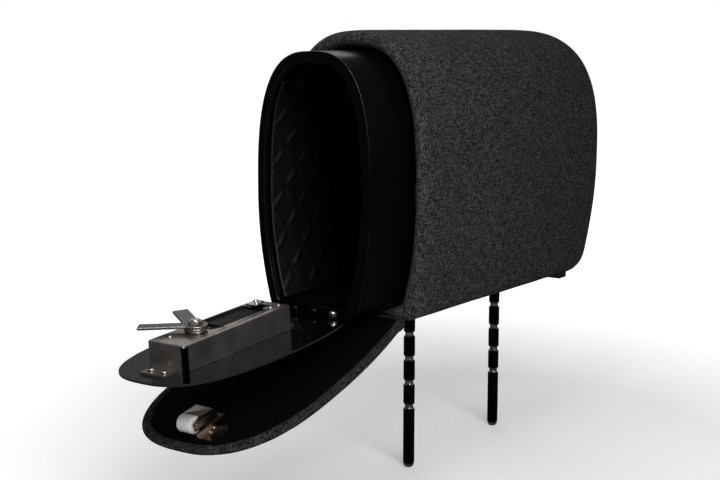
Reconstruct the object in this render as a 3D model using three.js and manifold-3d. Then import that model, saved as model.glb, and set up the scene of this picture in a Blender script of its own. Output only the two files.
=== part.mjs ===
// Headrest-shaped portable safe: a padded car headrest on two notched posts, whose end opens as a flap.
// An arch-shaped steel safe slides out of the mouth, and its door hangs open with the lock on its inner face.
// Millimetres. The origin is midway between the posts on the underside of the headrest.
// +X runs from the mouth to the far end, +Y to the back of the headrest, +Z up.
import * as THREE from 'three';
import { mergeVertices } from 'three/addons/utils/BufferGeometryUtils.js';
import Module from 'manifold-3d';

const wasm = await Module();
wasm.setup();

// Fits
const seatGap = 0.2;          // between pieces that rest on each other
const runGap = 0.3;           // between pieces that move past each other

// Padded headrest body
const bodyLength = 324;
const bodyHeight = 223.5;
const bodyHalfWidth = 70;     // at the mouth
const farHalfWidth = 75;      // at the far end
const bodyWideLevel = 107.7;  // height at which the body is widest
const bodyFootHalf = 60;      // half-width of the underside at the mouth
const farFootHalf = 63;
const farDrop = 3;            // how far the underside sinks towards the far end
const bodyCorner = 12;
const archPower = 2.8;        // roundness of the arch: 2 is an ellipse
const mouthX = -161;          // foremost plane of the padded rim
const rimRadius = 9;          // rounding of the rim, front to back
const crown = 6;              // bulge of the far end
const farTopRadius = 58;
const farSideRadius = 28;
const farBottomRadius = 45;
const coverThickness = 1.6;
const tuckDepth = 20;         // how far the cover turns into the mouth

// Posts
const postSpacing = 149;
const postRadius = 5;
const postLength = 157;       // below the underside
const notchPitch = 21.6;
const notchCount = 4;
const notchDepth = 1.3;
const notchHeight = 5;
const firstNotch = 55.5;      // lowest notch above the post's end
const postTipHeight = 6;
const postTipFlat = 2.2;
const postScrewRadius = 3;
const postScrewHead = 5.5;
const postScrewLength = 16;

// Safe
const shellLength = 218;
const shellHalfWidth = 54;
const shellHeight = 201.5;
const shellWideLevel = 90.5;  // above the shell's own bottom
const shellFootHalf = 40.8;
const shellCorner = 5;
const shellWall = 2;
const frameWidth = 8.5;       // steel turned inwards round the opening
const drawOut = 56;           // how far the open safe stands out of the mouth plane's inner edge
const slideTravel = 120;

// Housing sleeve that the safe slides in
const sleeveWall = 2;
const sideClearance = 4;
const topClearance = 2.2;
const floorClearance = 0.9;
const ringDepth = 3.4;
const ringWidth = 4;
const runnerHeight = 14;
const runnerThickness = 2.5;
const runnerLength = 153;
const channelFlange = 3;
const channelWeb = 0.5;

// Lining
const liningThickness = 2.5;
const liningSetback = 12;
const matThickness = 2;

// Door
const doorThickness = 1.6;
const doorReveal = 4;         // how much smaller the door is than the shell at the sides
const doorTopReveal = 6.2;
const doorOpenAngle = 94.3;
const hingeRadius = 2.3;
const hingePinRadius = 1.1;
const hingeLength = 60;
const knuckleCount = 5;
const leafThickness = 1.2;
const leafDepth = 21;
const leafScrewRadius = 3.2;
const leafScrewHeight = 4.2;

// Lock on the door, measured along the door from the hinge
const caseStart = 50;
const caseLength = 115;
const caseHalfWidth = 16.75;
const caseHeight = 19;
const caseWall = 1.2;
const footThickness = 1.5;
const windowStart = 67;
const windowLength = 49;
const windowFront = 10;       // towards the side that the photograph is taken from
const windowBack = 14;
const pivotAlong = 134;
const spindleRadius = 3.4;
const armThickness = 1.8;
const armDisc = 8.3;
const longArmLength = 49;
const longArmHalf = 5.8;
const longArmAngle = 56;      // from the hinge side, turned towards the back edge
const shortArmLength = 40.5;
const shortArmHalf = 5.2;
const shortArmAngle = 124;
const lockTurn = 90;
const buttonCount = 5;
const buttonPitch = 13;
const buttonRadius = 4.6;
const buttonProud = 2.8;
const faceplateThickness = 1.5;
const faceplateHalf = 15;
const knobRadius = 10;
const knobHeight = 5.8;
const ribCount = 7;

// Flap
const flapTilt = 15.6;        // tip below the horizontal when it hangs open
const flapHalfWidth = 67;
const flapLength = 216.7;
const flapWideLevel = 117;
const flapFootHalf = 54;
const flapPower = 2.64;
const flapThickness = 7;
const flapRim = 7;            // width of the rolled edge
const clothThickness = 0.8;
const boardThickness = 2.5;
const pipingRadius = 1.5;

// Roller catch on the flap, measured along the flap from its fold
const rollerAlong = 199;
const rollerRadius = 6.5;
const rollerLength = 13;
const rollerAcross = -1;      // towards the back of the headrest
const rollerPinRadius = 1.5;
const catchPlate = 1.2;

// Places worked out from the sizes
const sleeveFloor = 5.6;
const shellBottom = sleeveFloor + floorClearance;
const shellFront = mouthX + 5 - drawOut;
const hingeX = shellFront - runGap + hingeRadius;
const hingeZ = shellBottom + shellWall + hingeRadius;
const foldX = mouthX - 1;
const foldZ = 1.2;
const bodyEnd = mouthX + bodyLength;
const shellBack = shellFront + shellLength;
const sleeveFront = mouthX + tuckDepth + 2 * seatGap + ringDepth;
const sleeveEnd = shellBack + slideTravel + 2 + sleeveWall;
const radians = THREE.MathUtils.degToRad;

// Colours and finishes
const finishes = {
  weave: { color: 0x2b2c30, roughness: 0.95, metalness: 0 },
  foam: { color: 0x6b6b66, roughness: 1, metalness: 0 },
  blackCloth: { color: 0x0d0d0f, roughness: 0.95, metalness: 0 },
  quilt: { color: 0x14120f, roughness: 0.9, metalness: 0 },
  blackSteel: { color: 0x0b0b0c, roughness: 0.35, metalness: 0.3 },
  bareSteel: { color: 0x9c958d, roughness: 0.35, metalness: 1 },
  nickel: { color: 0xb0a79c, roughness: 0.25, metalness: 1 },
  blackChrome: { color: 0x35383a, roughness: 0.08, metalness: 1 },
  blackPlastic: { color: 0x101011, roughness: 0.5, metalness: 0 },
  nylon: { color: 0xe6e6e8, roughness: 0.4, metalness: 0 },
  board: { color: 0x3a3026, roughness: 0.9, metalness: 0 },
};

// Solids for cutting and joining
function toSolid(geometry) {
  const bare = geometry.index ? geometry.clone() : geometry.clone();
  bare.deleteAttribute('normal');
  bare.deleteAttribute('uv');
  const merged = mergeVertices(bare, 1e-4);
  const solid = new wasm.Manifold(new wasm.Mesh({
    numProp: 3,
    vertProperties: new Float32Array(merged.attributes.position.array),
    triVerts: new Uint32Array(merged.index.array),
  }));
  return solid;
}

function toGeometry(solid) {
  const mesh = solid.getMesh();
  const geometry = new THREE.BufferGeometry();
  geometry.setAttribute('position', new THREE.BufferAttribute(new Float32Array(mesh.vertProperties), 3));
  geometry.setIndex(new THREE.BufferAttribute(new Uint32Array(mesh.triVerts), 1));
  return geometry;
}

function cut(body, ...tools) {
  return toGeometry(tools.reduce((solid, tool) => solid.subtract(toSolid(tool)), toSolid(body)));
}

function join(first, ...others) {
  return toGeometry(others.reduce((solid, other) => solid.add(toSolid(other)), toSolid(first)));
}

// Simple shapes, given by their limits
function block(x0, x1, y0, y1, z0, z1) {
  const geometry = new THREE.BoxGeometry(x1 - x0, y1 - y0, z1 - z0);
  return geometry.translate((x0 + x1) / 2, (y0 + y1) / 2, (z0 + z1) / 2);
}

function rodX(radius, x0, x1, y, z, sides = 20) {
  return new THREE.CylinderGeometry(radius, radius, x1 - x0, sides).rotateZ(-Math.PI / 2)
    .translate((x0 + x1) / 2, y, z);
}

function rodY(radius, y0, y1, x, z, sides = 20) {
  return new THREE.CylinderGeometry(radius, radius, y1 - y0, sides).translate(x, (y0 + y1) / 2, z);
}

function rodZ(radius, z0, z1, x, y, sides = 20, topRadius = radius) {
  return new THREE.CylinderGeometry(topRadius, radius, z1 - z0, sides).rotateX(Math.PI / 2)
    .translate(x, y, (z0 + z1) / 2);
}

// A flat outline drawn across (Y, Z) and pulled along X, or drawn on (X, Y) and pulled along Z
const acrossX = new THREE.Matrix4().makeBasis(
  new THREE.Vector3(0, 1, 0), new THREE.Vector3(0, 0, 1), new THREE.Vector3(1, 0, 0));

function pullX(points, x0, x1, hole) {
  const shape = new THREE.Shape(points.map(([y, z]) => new THREE.Vector2(y, z)));
  if (hole) shape.holes.push(new THREE.Path(hole.map(([y, z]) => new THREE.Vector2(y, z))));
  const geometry = new THREE.ExtrudeGeometry(shape, { depth: x1 - x0, bevelEnabled: false });
  return geometry.applyMatrix4(acrossX).translate(x0, 0, 0);
}

function pullZ(points, z0, z1) {
  const shape = new THREE.Shape(points.map(([x, y]) => new THREE.Vector2(x, y)));
  const geometry = new THREE.ExtrudeGeometry(shape, { depth: z1 - z0, bevelEnabled: false });
  return geometry.translate(0, 0, z0);
}

// The arch that shell, door, mouth, body and flap share: a flat foot, bowed sides and a round top
const topSteps = 26;
const sideSteps = 5;
const cornerSteps = 3;

function archPoints({ half, top, wide, bottom, foot, corner, power }) {
  const sideAt = (z) => half - (half - foot) * ((wide - z) / (wide - bottom)) ** 2;
  const right = [];
  for (let i = 0; i < cornerSteps; i++) {
    const t = i / cornerSteps;
    const [a, b, c] = [(1 - t) ** 2, 2 * t * (1 - t), t ** 2];
    const [y1, z1] = [sideAt(bottom + corner), bottom + corner];
    right.push([a * (foot - corner) + b * foot + c * y1, a * bottom + b * bottom + c * z1]);
  }
  for (let i = 0; i < sideSteps; i++) {
    const z = bottom + corner + (wide - bottom - corner) * i / sideSteps;
    right.push([sideAt(z), z]);
  }
  const points = [...right];
  for (let i = 0; i <= topSteps; i++) {
    const angle = Math.PI * i / topSteps;
    const [c, s] = [Math.cos(angle), Math.sin(angle)];
    points.push([
      half * Math.sign(c) * Math.abs(c) ** (2 / power),
      wide + (top - wide) * Math.abs(s) ** (2 / power),
    ]);
  }
  return [...points, ...right.reverse().map(([y, z]) => [-y, z])];
}

function grow(arch, side, above = side, below = side) {
  return {
    ...arch,
    half: arch.half + side,
    top: arch.top + above,
    bottom: arch.bottom - below,
    foot: arch.foot + side,
    corner: Math.max(1, arch.corner + side),
  };
}

function between(first, second, share) {
  const mixed = { ...first };
  for (const key of Object.keys(first)) mixed[key] = first[key] + (second[key] - first[key]) * share;
  return mixed;
}

const bodyArch = {
  half: bodyHalfWidth, top: bodyHeight, wide: bodyWideLevel, bottom: 0,
  foot: bodyFootHalf, corner: bodyCorner, power: archPower,
};
const shellArch = {
  half: shellHalfWidth, top: shellBottom + shellHeight, wide: shellBottom + shellWideLevel,
  bottom: shellBottom, foot: shellFootHalf, corner: shellCorner, power: archPower,
};
const mouthArch = grow(shellArch, sideClearance, topClearance, floorClearance);

// A closed skin laid over a run of arch-shaped rings, with a point at each end
function skin(rings, firstPoint, lastPoint) {
  const positions = [...firstPoint];
  const faces = [];
  const count = archPoints(bodyArch).length;
  for (const { x, arch } of rings) for (const [y, z] of archPoints(arch)) positions.push(x, y, z);
  positions.push(...lastPoint);
  const last = positions.length / 3 - 1;
  for (let i = 0; i < count; i++) {
    const next = (i + 1) % count;
    faces.push(0, 1 + next, 1 + i);
    for (let r = 0; r < rings.length - 1; r++) {
      const [a, b] = [1 + r * count, 1 + (r + 1) * count];
      faces.push(a + i, a + next, b + next, a + i, b + next, b + i);
    }
    const end = 1 + (rings.length - 1) * count;
    faces.push(end + i, end + next, last);
  }
  const geometry = new THREE.BufferGeometry();
  geometry.setAttribute('position', new THREE.Float32BufferAttribute(positions, 3));
  geometry.setIndex(faces);
  return facingOut(geometry);
}

function facingOut(geometry) {
  const p = geometry.attributes.position;
  const index = geometry.index.array;
  const [a, b, c] = [new THREE.Vector3(), new THREE.Vector3(), new THREE.Vector3()];
  let volume = 0;
  for (let i = 0; i < index.length; i += 3) {
    a.fromBufferAttribute(p, index[i]);
    b.fromBufferAttribute(p, index[i + 1]);
    c.fromBufferAttribute(p, index[i + 2]);
    volume += a.dot(b.cross(c));
  }
  if (volume < 0) for (let i = 0; i < index.length; i += 3) [index[i], index[i + 1]] = [index[i + 1], index[i]];
  return geometry;
}

// The outside of the padded body from the far end to the mouth, drawn in by an inset
const farStations = [0, 2, 6, 12, 20, 30, 44, 60];
const farArch = { ...bodyArch, half: farHalfWidth, foot: farFootHalf, bottom: -farDrop };

function bodyAt(x) {
  const start = mouthX + rimRadius;
  return between(bodyArch, farArch, (x - start) / (bodyEnd - crown - start));
}

function retreat(radius, distance) {
  return distance >= radius ? 0 : radius - Math.sqrt(radius ** 2 - (radius - distance) ** 2);
}

function farRings(inset) {
  const end = bodyEnd - crown - inset;
  const rounded = (distance) => {
    const plain = grow(bodyAt(end - distance), -inset);
    const side = retreat(farSideRadius - inset, distance);
    const above = retreat(farTopRadius - inset, distance);
    const below = retreat(farBottomRadius - inset, distance);
    const arch = grow(plain, -side, -above, -below);
    return { ...arch, wide: Math.min(plain.wide, (arch.top + arch.bottom) / 2), corner: 8 };
  };
  const flat = rounded(0);
  const middle = (flat.top + flat.bottom) / 2;
  const shrunk = (share) => ({
    ...flat, half: flat.half * share, foot: flat.foot * share, corner: flat.corner * share,
    top: middle + (flat.top - middle) * share, bottom: middle + (flat.bottom - middle) * share,
    wide: middle + (flat.wide - middle) * share,
  });
  const bulge = [0.45, 0.8].map((share) => (
    { x: end + crown * (1 - share ** 2), arch: shrunk(share) }));
  const rings = farStations.map((distance) => ({ x: end - distance, arch: rounded(distance) }));
  return { rings: [...bulge, ...rings], point: [end + crown, 0, middle] };
}

// The padded rim of the mouth, from the outside round to the inside
const rimSteps = 6;

function rimRings(inset) {
  const outside = grow(bodyArch, -inset);
  const inside = grow(mouthArch, inset, inset, inset);
  const rings = [];
  for (let i = 0; i <= rimSteps; i++) {
    const angle = Math.PI * i / rimSteps;
    rings.push({
      x: mouthX + inset + (rimRadius - inset) * (1 - Math.sin(angle)),
      arch: between(outside, inside, (1 - Math.cos(angle)) / 2),
    });
  }
  return rings;
}

const group = new THREE.Group();

function piece(parent, name, geometry, finish) {
  const mesh = new THREE.Mesh(geometry, new THREE.MeshStandardMaterial(finishes[finish]));
  mesh.name = name;
  parent.add(mesh);
  return mesh;
}

// Headrest: cover, foam, ring and sleeve
function addPadding() {
  const postHoles = (radius, top) => [-1, 1].map((side) => rodZ(radius, -5, top, side * postSpacing / 2, 0));
  const outer = farRings(0);
  const inner = farRings(coverThickness);
  const tuckEnd = mouthX + tuckDepth;
  const pipeSlot = rodY(pipingRadius + seatGap, -bodyHalfWidth, bodyHalfWidth, foldX, foldZ, 16);
  const coverSkin = skin([
    ...outer.rings, ...rimRings(0), { x: tuckEnd, arch: mouthArch },
    { x: tuckEnd, arch: grow(mouthArch, coverThickness) },
    ...rimRings(coverThickness).reverse(), ...inner.rings.reverse(),
  ], outer.point, inner.point);
  piece(group, 'fabric_cover', cut(coverSkin, ...postHoles(postRadius + runGap, 3), pipeSlot), 'weave');

  const foamInset = coverThickness + seatGap;
  const foamOuter = farRings(foamInset);
  const pocket = grow(mouthArch, ringWidth + seatGap, ringWidth + seatGap, sleeveWall + seatGap);
  const foamSkin = skin([
    ...foamOuter.rings, ...rimRings(foamInset), { x: tuckEnd, arch: grow(mouthArch, foamInset) },
    { x: tuckEnd, arch: pocket }, { x: sleeveEnd + seatGap, arch: pocket },
  ], foamOuter.point, [sleeveEnd + seatGap, 0, bodyHeight / 2]);
  piece(group, 'foam_pad', cut(foamSkin, ...postHoles(postRadius + runGap, sleeveFloor)), 'foam');

  const ringStart = tuckEnd + seatGap;
  const ringArch = grow(mouthArch, ringWidth, ringWidth, sleeveWall);
  const ring = pullX(archPoints(ringArch), ringStart, ringStart + ringDepth, archPoints(mouthArch));
  piece(group, 'mouth_ring', ring, 'blackPlastic');

  const sleeveArch = grow(mouthArch, sleeveWall);
  const sleeveBody = pullX(archPoints(sleeveArch), sleeveFront, sleeveEnd);
  const bore = pullX(archPoints(mouthArch), sleeveFront - 1, sleeveEnd - sleeveWall);
  const screwHoles = [-1, 1].map((side) => rodZ(
    postScrewRadius + runGap, 0, sleeveFloor + 0.01, side * postSpacing / 2, 0, 20, postScrewHead + runGap));
  piece(group, 'housing_sleeve', cut(sleeveBody, bore, ...screwHoles), 'blackSteel');
}

// Posts with their notches, and the screws that hold them to the sleeve's floor
function addPosts() {
  const top = sleeveFloor - sleeveWall - seatGap;
  const bottom = -postLength;
  const outline = [[postTipFlat, bottom]];
  for (const share of [0.3, 0.6, 0.85, 1]) {
    outline.push([
      postTipFlat + (postRadius - postTipFlat) * Math.sin(share * Math.PI / 2),
      bottom + postTipHeight * (1 - Math.cos(share * Math.PI / 2)),
    ]);
  }
  for (let i = 0; i < notchCount; i++) {
    const middle = bottom + firstNotch + i * notchPitch;
    outline.push(
      [postRadius, middle - notchHeight / 2], [postRadius - notchDepth, middle - notchHeight / 4],
      [postRadius - notchDepth, middle + notchHeight / 4], [postRadius, middle + notchHeight / 2]);
  }
  const boreRadius = postScrewRadius + seatGap;
  const boreBottom = top - postScrewLength - 1;
  outline.push([postRadius, top], [boreRadius, top], [boreRadius, boreBottom], [0, boreBottom]);
  const profile = [[0, bottom], ...outline].map(([r, z]) => new THREE.Vector2(r, z));
  for (const [name, side] of [['post_mouth_side', -1], ['post_far_side', 1]]) {
    const post = new THREE.LatheGeometry(profile, 20).rotateX(Math.PI / 2);
    post.translate(side * postSpacing / 2, 0, 0);
    piece(group, name, toGeometry(toSolid(post)), 'blackChrome');
    const headTop = sleeveFloor - 0.1;
    const headBottom = headTop - sleeveWall + 0.2;
    const screw = join(
      rodZ(postScrewRadius, headBottom, headTop, side * postSpacing / 2, 0, 20, postScrewHead),
      rodZ(postScrewRadius, top - postScrewLength, headBottom + 0.1, side * postSpacing / 2, 0));
    piece(group, name.replace('post', 'post_screw'), screw, 'bareSteel');
  }
}

// Guide channels on the sleeve, the tab at the far end, the strike and the piping of the fold
function addHeadrestFittings() {
  const level = shellBottom + shellWideLevel;
  const outerY = mouthArch.half - 0.5;
  const innerY = shellHalfWidth + 2 * runGap;
  const halfRunner = runnerHeight / 2 + runGap;
  for (const [name, side] of [['guide_channel_front', -1], ['guide_channel_back', 1]]) {
    const spanY = (near, far) => (side > 0 ? [near, far] : [-far, -near]);
    const z = [level - halfRunner - channelFlange, level + halfRunner + channelFlange];
    const full = block(sleeveFront + 1, sleeveEnd - sleeveWall - seatGap, ...spanY(innerY, outerY), ...z);
    const groove = block(sleeveFront, sleeveEnd, ...spanY(innerY - 1, outerY - channelWeb),
      level - halfRunner, level + halfRunner);
    piece(group, name, cut(full, groove), 'bareSteel');
  }
  const tab = pullZ([[0, -7], [15, -7], [18, -4], [18, 4], [15, 7], [0, 7]], -farDrop - 5, -farDrop);
  piece(group, 'far_end_tab', tab.translate(bodyEnd - 71, -53, 0), 'blackPlastic');

  const strikeTop = mouthArch.top - seatGap;
  const strikeX = mouthX + rimRadius + 0.5;
  const strikeHalf = rollerLength / 2 + 2;
  const strike = block(strikeX, strikeX + 10, rollerAcross - strikeHalf, rollerAcross + strikeHalf,
    strikeTop - 1.4, strikeTop);
  const above = pullX(archPoints(grow(mouthArch, -seatGap)), strikeX - 1, strikeX + 12);
  piece(group, 'catch_strike', toGeometry(toSolid(strike).intersect(toSolid(above))), 'nickel');

  const piping = rodY(pipingRadius, -bodyFootHalf + 4, bodyFootHalf - 4, foldX, foldZ, 12);
  piece(group, 'fold_piping', piping, 'weave');
}

// Safe: shell, frame, back, strike brackets, linings, runners and hinge
function addSafe() {
  const safe = new THREE.Group();
  group.add(safe);
  const front = shellFront;
  const wallArch = grow(shellArch, -shellWall);
  const wrapEnd = shellBack - shellWall;
  const wrap = pullX(archPoints(shellArch), front + shellWall, wrapEnd, archPoints(wallArch));
  const doorSweep = hingeRadius * 2;
  const frontCut = block(front - 1, front + doorSweep + runGap * 3, -shellFootHalf + 3, shellFootHalf - 3,
    shellBottom - 1, shellBottom + shellWall + 1);
  piece(safe, 'shell_wrap', cut(wrap, frontCut), 'blackSteel');
  piece(safe, 'shell_back', pullX(archPoints(shellArch), wrapEnd + seatGap, shellBack), 'blackSteel');

  const frameHole = archPoints(grow(shellArch, -frameWidth));
  const frameRing = pullX(archPoints(shellArch), front, front + shellWall - seatGap, frameHole);
  const frameFoot = block(front - 1, front + 5, -hingeLength / 2 - 3, hingeLength / 2 + 3, 0, shellBottom + 16);
  piece(safe, 'front_frame', cut(frameRing, frameFoot), 'blackSteel');
  addStrikeBrackets(safe, front);
  addLinings(safe, front, wallArch, wrapEnd);

  const level = shellBottom + shellWideLevel;
  for (const [name, side] of [['runner_front', -1], ['runner_back', 1]]) {
    const y = [shellHalfWidth + seatGap, shellHalfWidth + seatGap + runnerThickness];
    const spanY = side > 0 ? y : [-y[1], -y[0]];
    const end = shellBack - 5;
    const runner = block(end - runnerLength, end, ...spanY, level - runnerHeight / 2, level + runnerHeight / 2);
    piece(safe, name, runner, 'nylon');
  }
  const leaf = hingeLeaf([1, 3], 1);
  piece(safe, 'door_hinge_leaf_fixed', leaf.translate(hingeX, 0, hingeZ), 'bareSteel');
  const pin = rodY(hingePinRadius, -hingeLength / 2, hingeLength / 2, hingeX, hingeZ, 12);
  piece(safe, 'door_hinge_pin', pin, 'nickel');
}

// Brackets that the two cam arms turn behind when the lock is thrown
function addStrikeBrackets(safe, front) {
  const depth = armThickness + caseHeight - doorThickness - shellWall;
  const plate = [front + depth - 1.6, front + depth + 0.6];
  const inside = pullX(archPoints(grow(shellArch, -shellWall - seatGap)), plate[0] - 1, plate[1] + 9);
  const armTip = hingeZ + pivotAlong + longArmLength * Math.sin(radians(longArmAngle));
  const brackets = [
    ['strike_bracket_back', 20, 34, armTip - 8],
    ['strike_bracket_front', -31, -20, armTip - 16],
  ];
  for (const [name, y0, y1, z0] of brackets) {
    const upright = block(...plate, y0, y1, z0, bodyHeight);
    const flangeRing = pullX(archPoints(grow(shellArch, -shellWall - seatGap)), plate[0] + 1, plate[1] + 8,
      archPoints(grow(shellArch, -shellWall - seatGap - 2)));
    const flangeZone = block(plate[0] + 1, plate[1] + 8, y0, y1, z0, bodyHeight);
    const flange = toSolid(flangeRing).intersect(toSolid(flangeZone));
    const bracket = toSolid(upright).intersect(toSolid(inside)).add(flange);
    piece(safe, name, toGeometry(bracket), 'blackSteel');
  }
}

function addLinings(safe, front, wallArch, wrapEnd) {
  const bracketEnd = front + caseHeight + 12;
  const outside = grow(wallArch, -seatGap);
  const inside = grow(outside, -liningThickness);
  const liningEnd = wrapEnd - seatGap;
  const ring = pullX(archPoints(outside), front + liningSetback, liningEnd, archPoints(inside));
  const floorGap = block(front, shellBack, -shellFootHalf + 4, shellFootHalf - 4, 0, wallArch.bottom + 6);
  const bracketGap = block(front, bracketEnd, -bodyHalfWidth, bodyHalfWidth, shellBottom + 155, bodyHeight);
  piece(safe, 'side_lining', cut(ring, floorGap, bracketGap), 'quilt');

  const endArch = grow(inside, -seatGap);
  const endPad = pullX(archPoints(endArch), liningEnd - liningThickness - 0.5, liningEnd);
  piece(safe, 'end_lining', endPad, 'quilt');

  const matHalf = shellFootHalf - 4 - seatGap;
  const mat = block(hingeX + leafDepth + 3, liningEnd - liningThickness - 0.5 - seatGap, -matHalf, matHalf,
    wallArch.bottom + seatGap, wallArch.bottom + seatGap + matThickness);
  piece(safe, 'floor_mat', cut(mat, pullX(archPoints(endArch), liningEnd - 4, liningEnd)), 'blackCloth');
}

// One leaf of the door hinge about its own pin, lying flat under the barrel towards +X or -X
function hingeLeaf(knuckles, direction) {
  const pitch = hingeLength / knuckleCount;
  const startOf = (i) => -hingeLength / 2 + i * pitch;
  const spanX = direction > 0 ? [0, leafDepth] : [-leafDepth, 0];
  let solid = toSolid(block(...spanX, -hingeLength / 2, hingeLength / 2,
    -hingeRadius + seatGap, -hingeRadius + seatGap + leafThickness));
  for (let i = 0; i < knuckleCount; i++) {
    if (knuckles.includes(i)) continue;
    const room = rodY(hingeRadius + runGap, startOf(i) - runGap / 2, startOf(i + 1) + runGap / 2, 0, 0, 16);
    solid = solid.subtract(toSolid(room));
  }
  for (const i of knuckles) {
    const barrel = rodY(hingeRadius - seatGap, startOf(i) + runGap / 2, startOf(i + 1) - runGap / 2, 0, 0, 16);
    solid = solid.add(toSolid(barrel));
  }
  const bore = rodY(hingePinRadius + 0.15, -hingeLength, hingeLength, 0, 0, 12);
  return toGeometry(solid.subtract(toSolid(bore)));
}

// Door: everything on it is placed from the hinge line on the door's inner face.
// Local +X runs from the hinge to the tip, local +Z is the way the inner face looks, local +Y is world -Y.
function addDoor() {
  const hung = new THREE.Group();
  hung.position.set(hingeX, 0, hingeZ);
  hung.rotation.y = radians(90 - doorOpenAngle);
  group.add(hung);
  const door = new THREE.Group();
  door.rotation.z = Math.PI;
  hung.add(door);
  const inner = new THREE.Group();
  inner.position.z = -hingeRadius;
  door.add(inner);

  const leaf = hingeLeaf([0, 2, 4], 1);
  piece(door, 'door_hinge_leaf_moving', leaf, 'bareSteel');

  const doorArch = { ...grow(shellArch, -doorReveal, -doorTopReveal), bottom: hingeZ - hingeRadius + 0.5 };
  const outline = archPoints(doorArch).map(([y, z]) => [z - hingeZ, y]);
  const plateTop = 0;
  const plate = pullZ(outline.reverse(), plateTop - doorThickness, plateTop);
  const holes = buttonPlaces().map((x) => rodZ(buttonRadius + runGap, -9, 5, x, 0));
  const spindleHole = rodZ(spindleRadius + runGap, -9, 5, pivotAlong, 0);
  const frameRoom = [-1, 1].map((side) => block(
    -5, shellWall + 3 * runGap, side * hingeLength / 2 + (side > 0 ? 1 : -60),
    side * hingeLength / 2 + (side > 0 ? 60 : -1), -5, 5));
  piece(inner, 'door_plate', cut(plate, ...holes, spindleHole, ...frameRoom), 'blackSteel');

  const screwX = leafDepth * 0.58;
  [-27, -9, 9, 27].forEach((y, i) => piece(inner, `door_leaf_screw_${i + 1}`,
    panHead(screwX, y, leafThickness + 2 * seatGap, leafScrewRadius, leafScrewHeight), 'nickel'));
  addLockCase(inner);
  addLockFront(inner);
  addLockSpindle(inner);
}

function buttonPlaces() {
  const first = pivotAlong - 20 - (buttonCount - 1) * buttonPitch;
  return Array.from({ length: buttonCount }, (_, i) => first + i * buttonPitch);
}

function panHead(x, y, z, radius, height) {
  const profile = [[0, 0], [radius, 0], [radius, height * 0.45], [radius * 0.8, height * 0.85],
    [radius * 0.4, height], [0, height]].map(([r, h]) => new THREE.Vector2(r, h));
  return new THREE.LatheGeometry(profile, 14).rotateX(Math.PI / 2).translate(x, y, z);
}

function addLockCase(inner) {
  const end = caseStart + caseLength;
  const half = caseHalfWidth;
  const outerBox = block(caseStart, end, -half, half, seatGap, caseHeight);
  const hollow = block(caseStart + caseWall, end - caseWall, -half + caseWall, half - caseWall,
    -1, caseHeight - caseWall);
  const windowCut = block(windowStart, windowStart + windowLength, -windowBack, windowFront,
    caseHeight - 3, caseHeight + 1);
  const leverCut = block(windowStart - 9, windowStart + 1, -8, 4, caseHeight - 3, caseHeight + 1);
  const notch = block(end - 5, end + 1, half - 4, half + 1, -1, caseHeight - caseWall);
  const spindleCut = rodZ(spindleRadius + runGap, 5, caseHeight + 1, pivotAlong, 0);
  const tipFoot = block(end - 1, end + 15, -11, 11.5, seatGap, seatGap + footThickness);
  const hingeFoot = block(caseStart - 8, caseStart + 1, 3, half - 4, seatGap, seatGap + footThickness);
  const rivets = [[55, 9.5], [63, 8.5], [152.5, -7.5]].map(([x, y]) => panHead(x, y, caseHeight - 0.1, 1.9, 1.4));
  const shellSolid = cut(outerBox, hollow, windowCut, leverCut, notch, spindleCut);
  piece(inner, 'lock_case', join(shellSolid, tipFoot, hingeFoot, ...rivets), 'bareSteel');

  const footTop = footThickness + 2 * seatGap;
  [[end + 9, 6], [end + 9, -6], [caseStart - 4.5, 8]].forEach(([x, y], i) => piece(
    inner, `lock_foot_screw_${i + 1}`, panHead(x, y, footTop, 2.7, 2), 'nickel'));

  const chamberSide = half - caseWall - seatGap;
  const chamberTop = caseHeight - caseWall - 2;
  const chamber = block(windowStart - 12, windowStart + windowLength + 3, -chamberSide, chamberSide,
    buttonProud + 0.7, chamberTop);
  const ribPitch = (windowBack + windowFront - 2) / ribCount;
  const ribs = Array.from({ length: ribCount }, (_, i) => {
    const y = -windowBack + 1 + (i + 0.5) * ribPitch;
    return block(windowStart + 1, windowStart + windowLength - 1, y - ribPitch * 0.3, y + ribPitch * 0.3,
      chamberTop - 0.5, chamberTop + 1.3);
  });
  piece(inner, 'code_stack', join(chamber, ...ribs), 'blackPlastic');

  const leverTop = caseHeight + seatGap;
  const lever = join(
    block(caseStart + 3, windowStart - 1, -13, -6, leverTop, leverTop + 1),
    block(windowStart - 8, windowStart - 1, -10, -3, leverTop, leverTop + 1),
    panHead(57, -10.5, leverTop + 0.9, 1.9, 1.4), panHead(62.5, -5, leverTop + 0.9, 1.9, 1.4));
  piece(inner, 'reset_lever', lever, 'nickel');
}

// Outer face of the door: faceplate, five buttons and the turn knob
function addLockFront(inner) {
  const outerFace = -doorThickness - seatGap;
  const plateFace = outerFace - faceplateThickness;
  const places = buttonPlaces();
  const ends = [places[0] - 2, pivotAlong + 2];
  const bar = block(ends[0], ends[1], -faceplateHalf, faceplateHalf, plateFace, outerFace);
  const round = ends.map((x) => rodZ(faceplateHalf, plateFace, outerFace, x, 0, 28));
  const holes = places.map((x) => rodZ(buttonRadius + runGap, plateFace - 1, outerFace + 1, x, 0));
  const knobHole = rodZ(spindleRadius + runGap, plateFace - 1, outerFace + 1, pivotAlong, 0);
  piece(inner, 'lock_faceplate', cut(join(bar, ...round), ...holes, knobHole), 'nickel');
  places.forEach((x, i) => {
    const face = plateFace - buttonProud;
    const button = join(
      rodZ(buttonRadius, face + 0.6, 0, x, 0, 20),
      rodZ(buttonRadius - 0.7, face, face + 0.7, x, 0, 20, buttonRadius));
    piece(inner, `button_${i + 1}`, button, 'bareSteel');
  });
}

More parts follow.
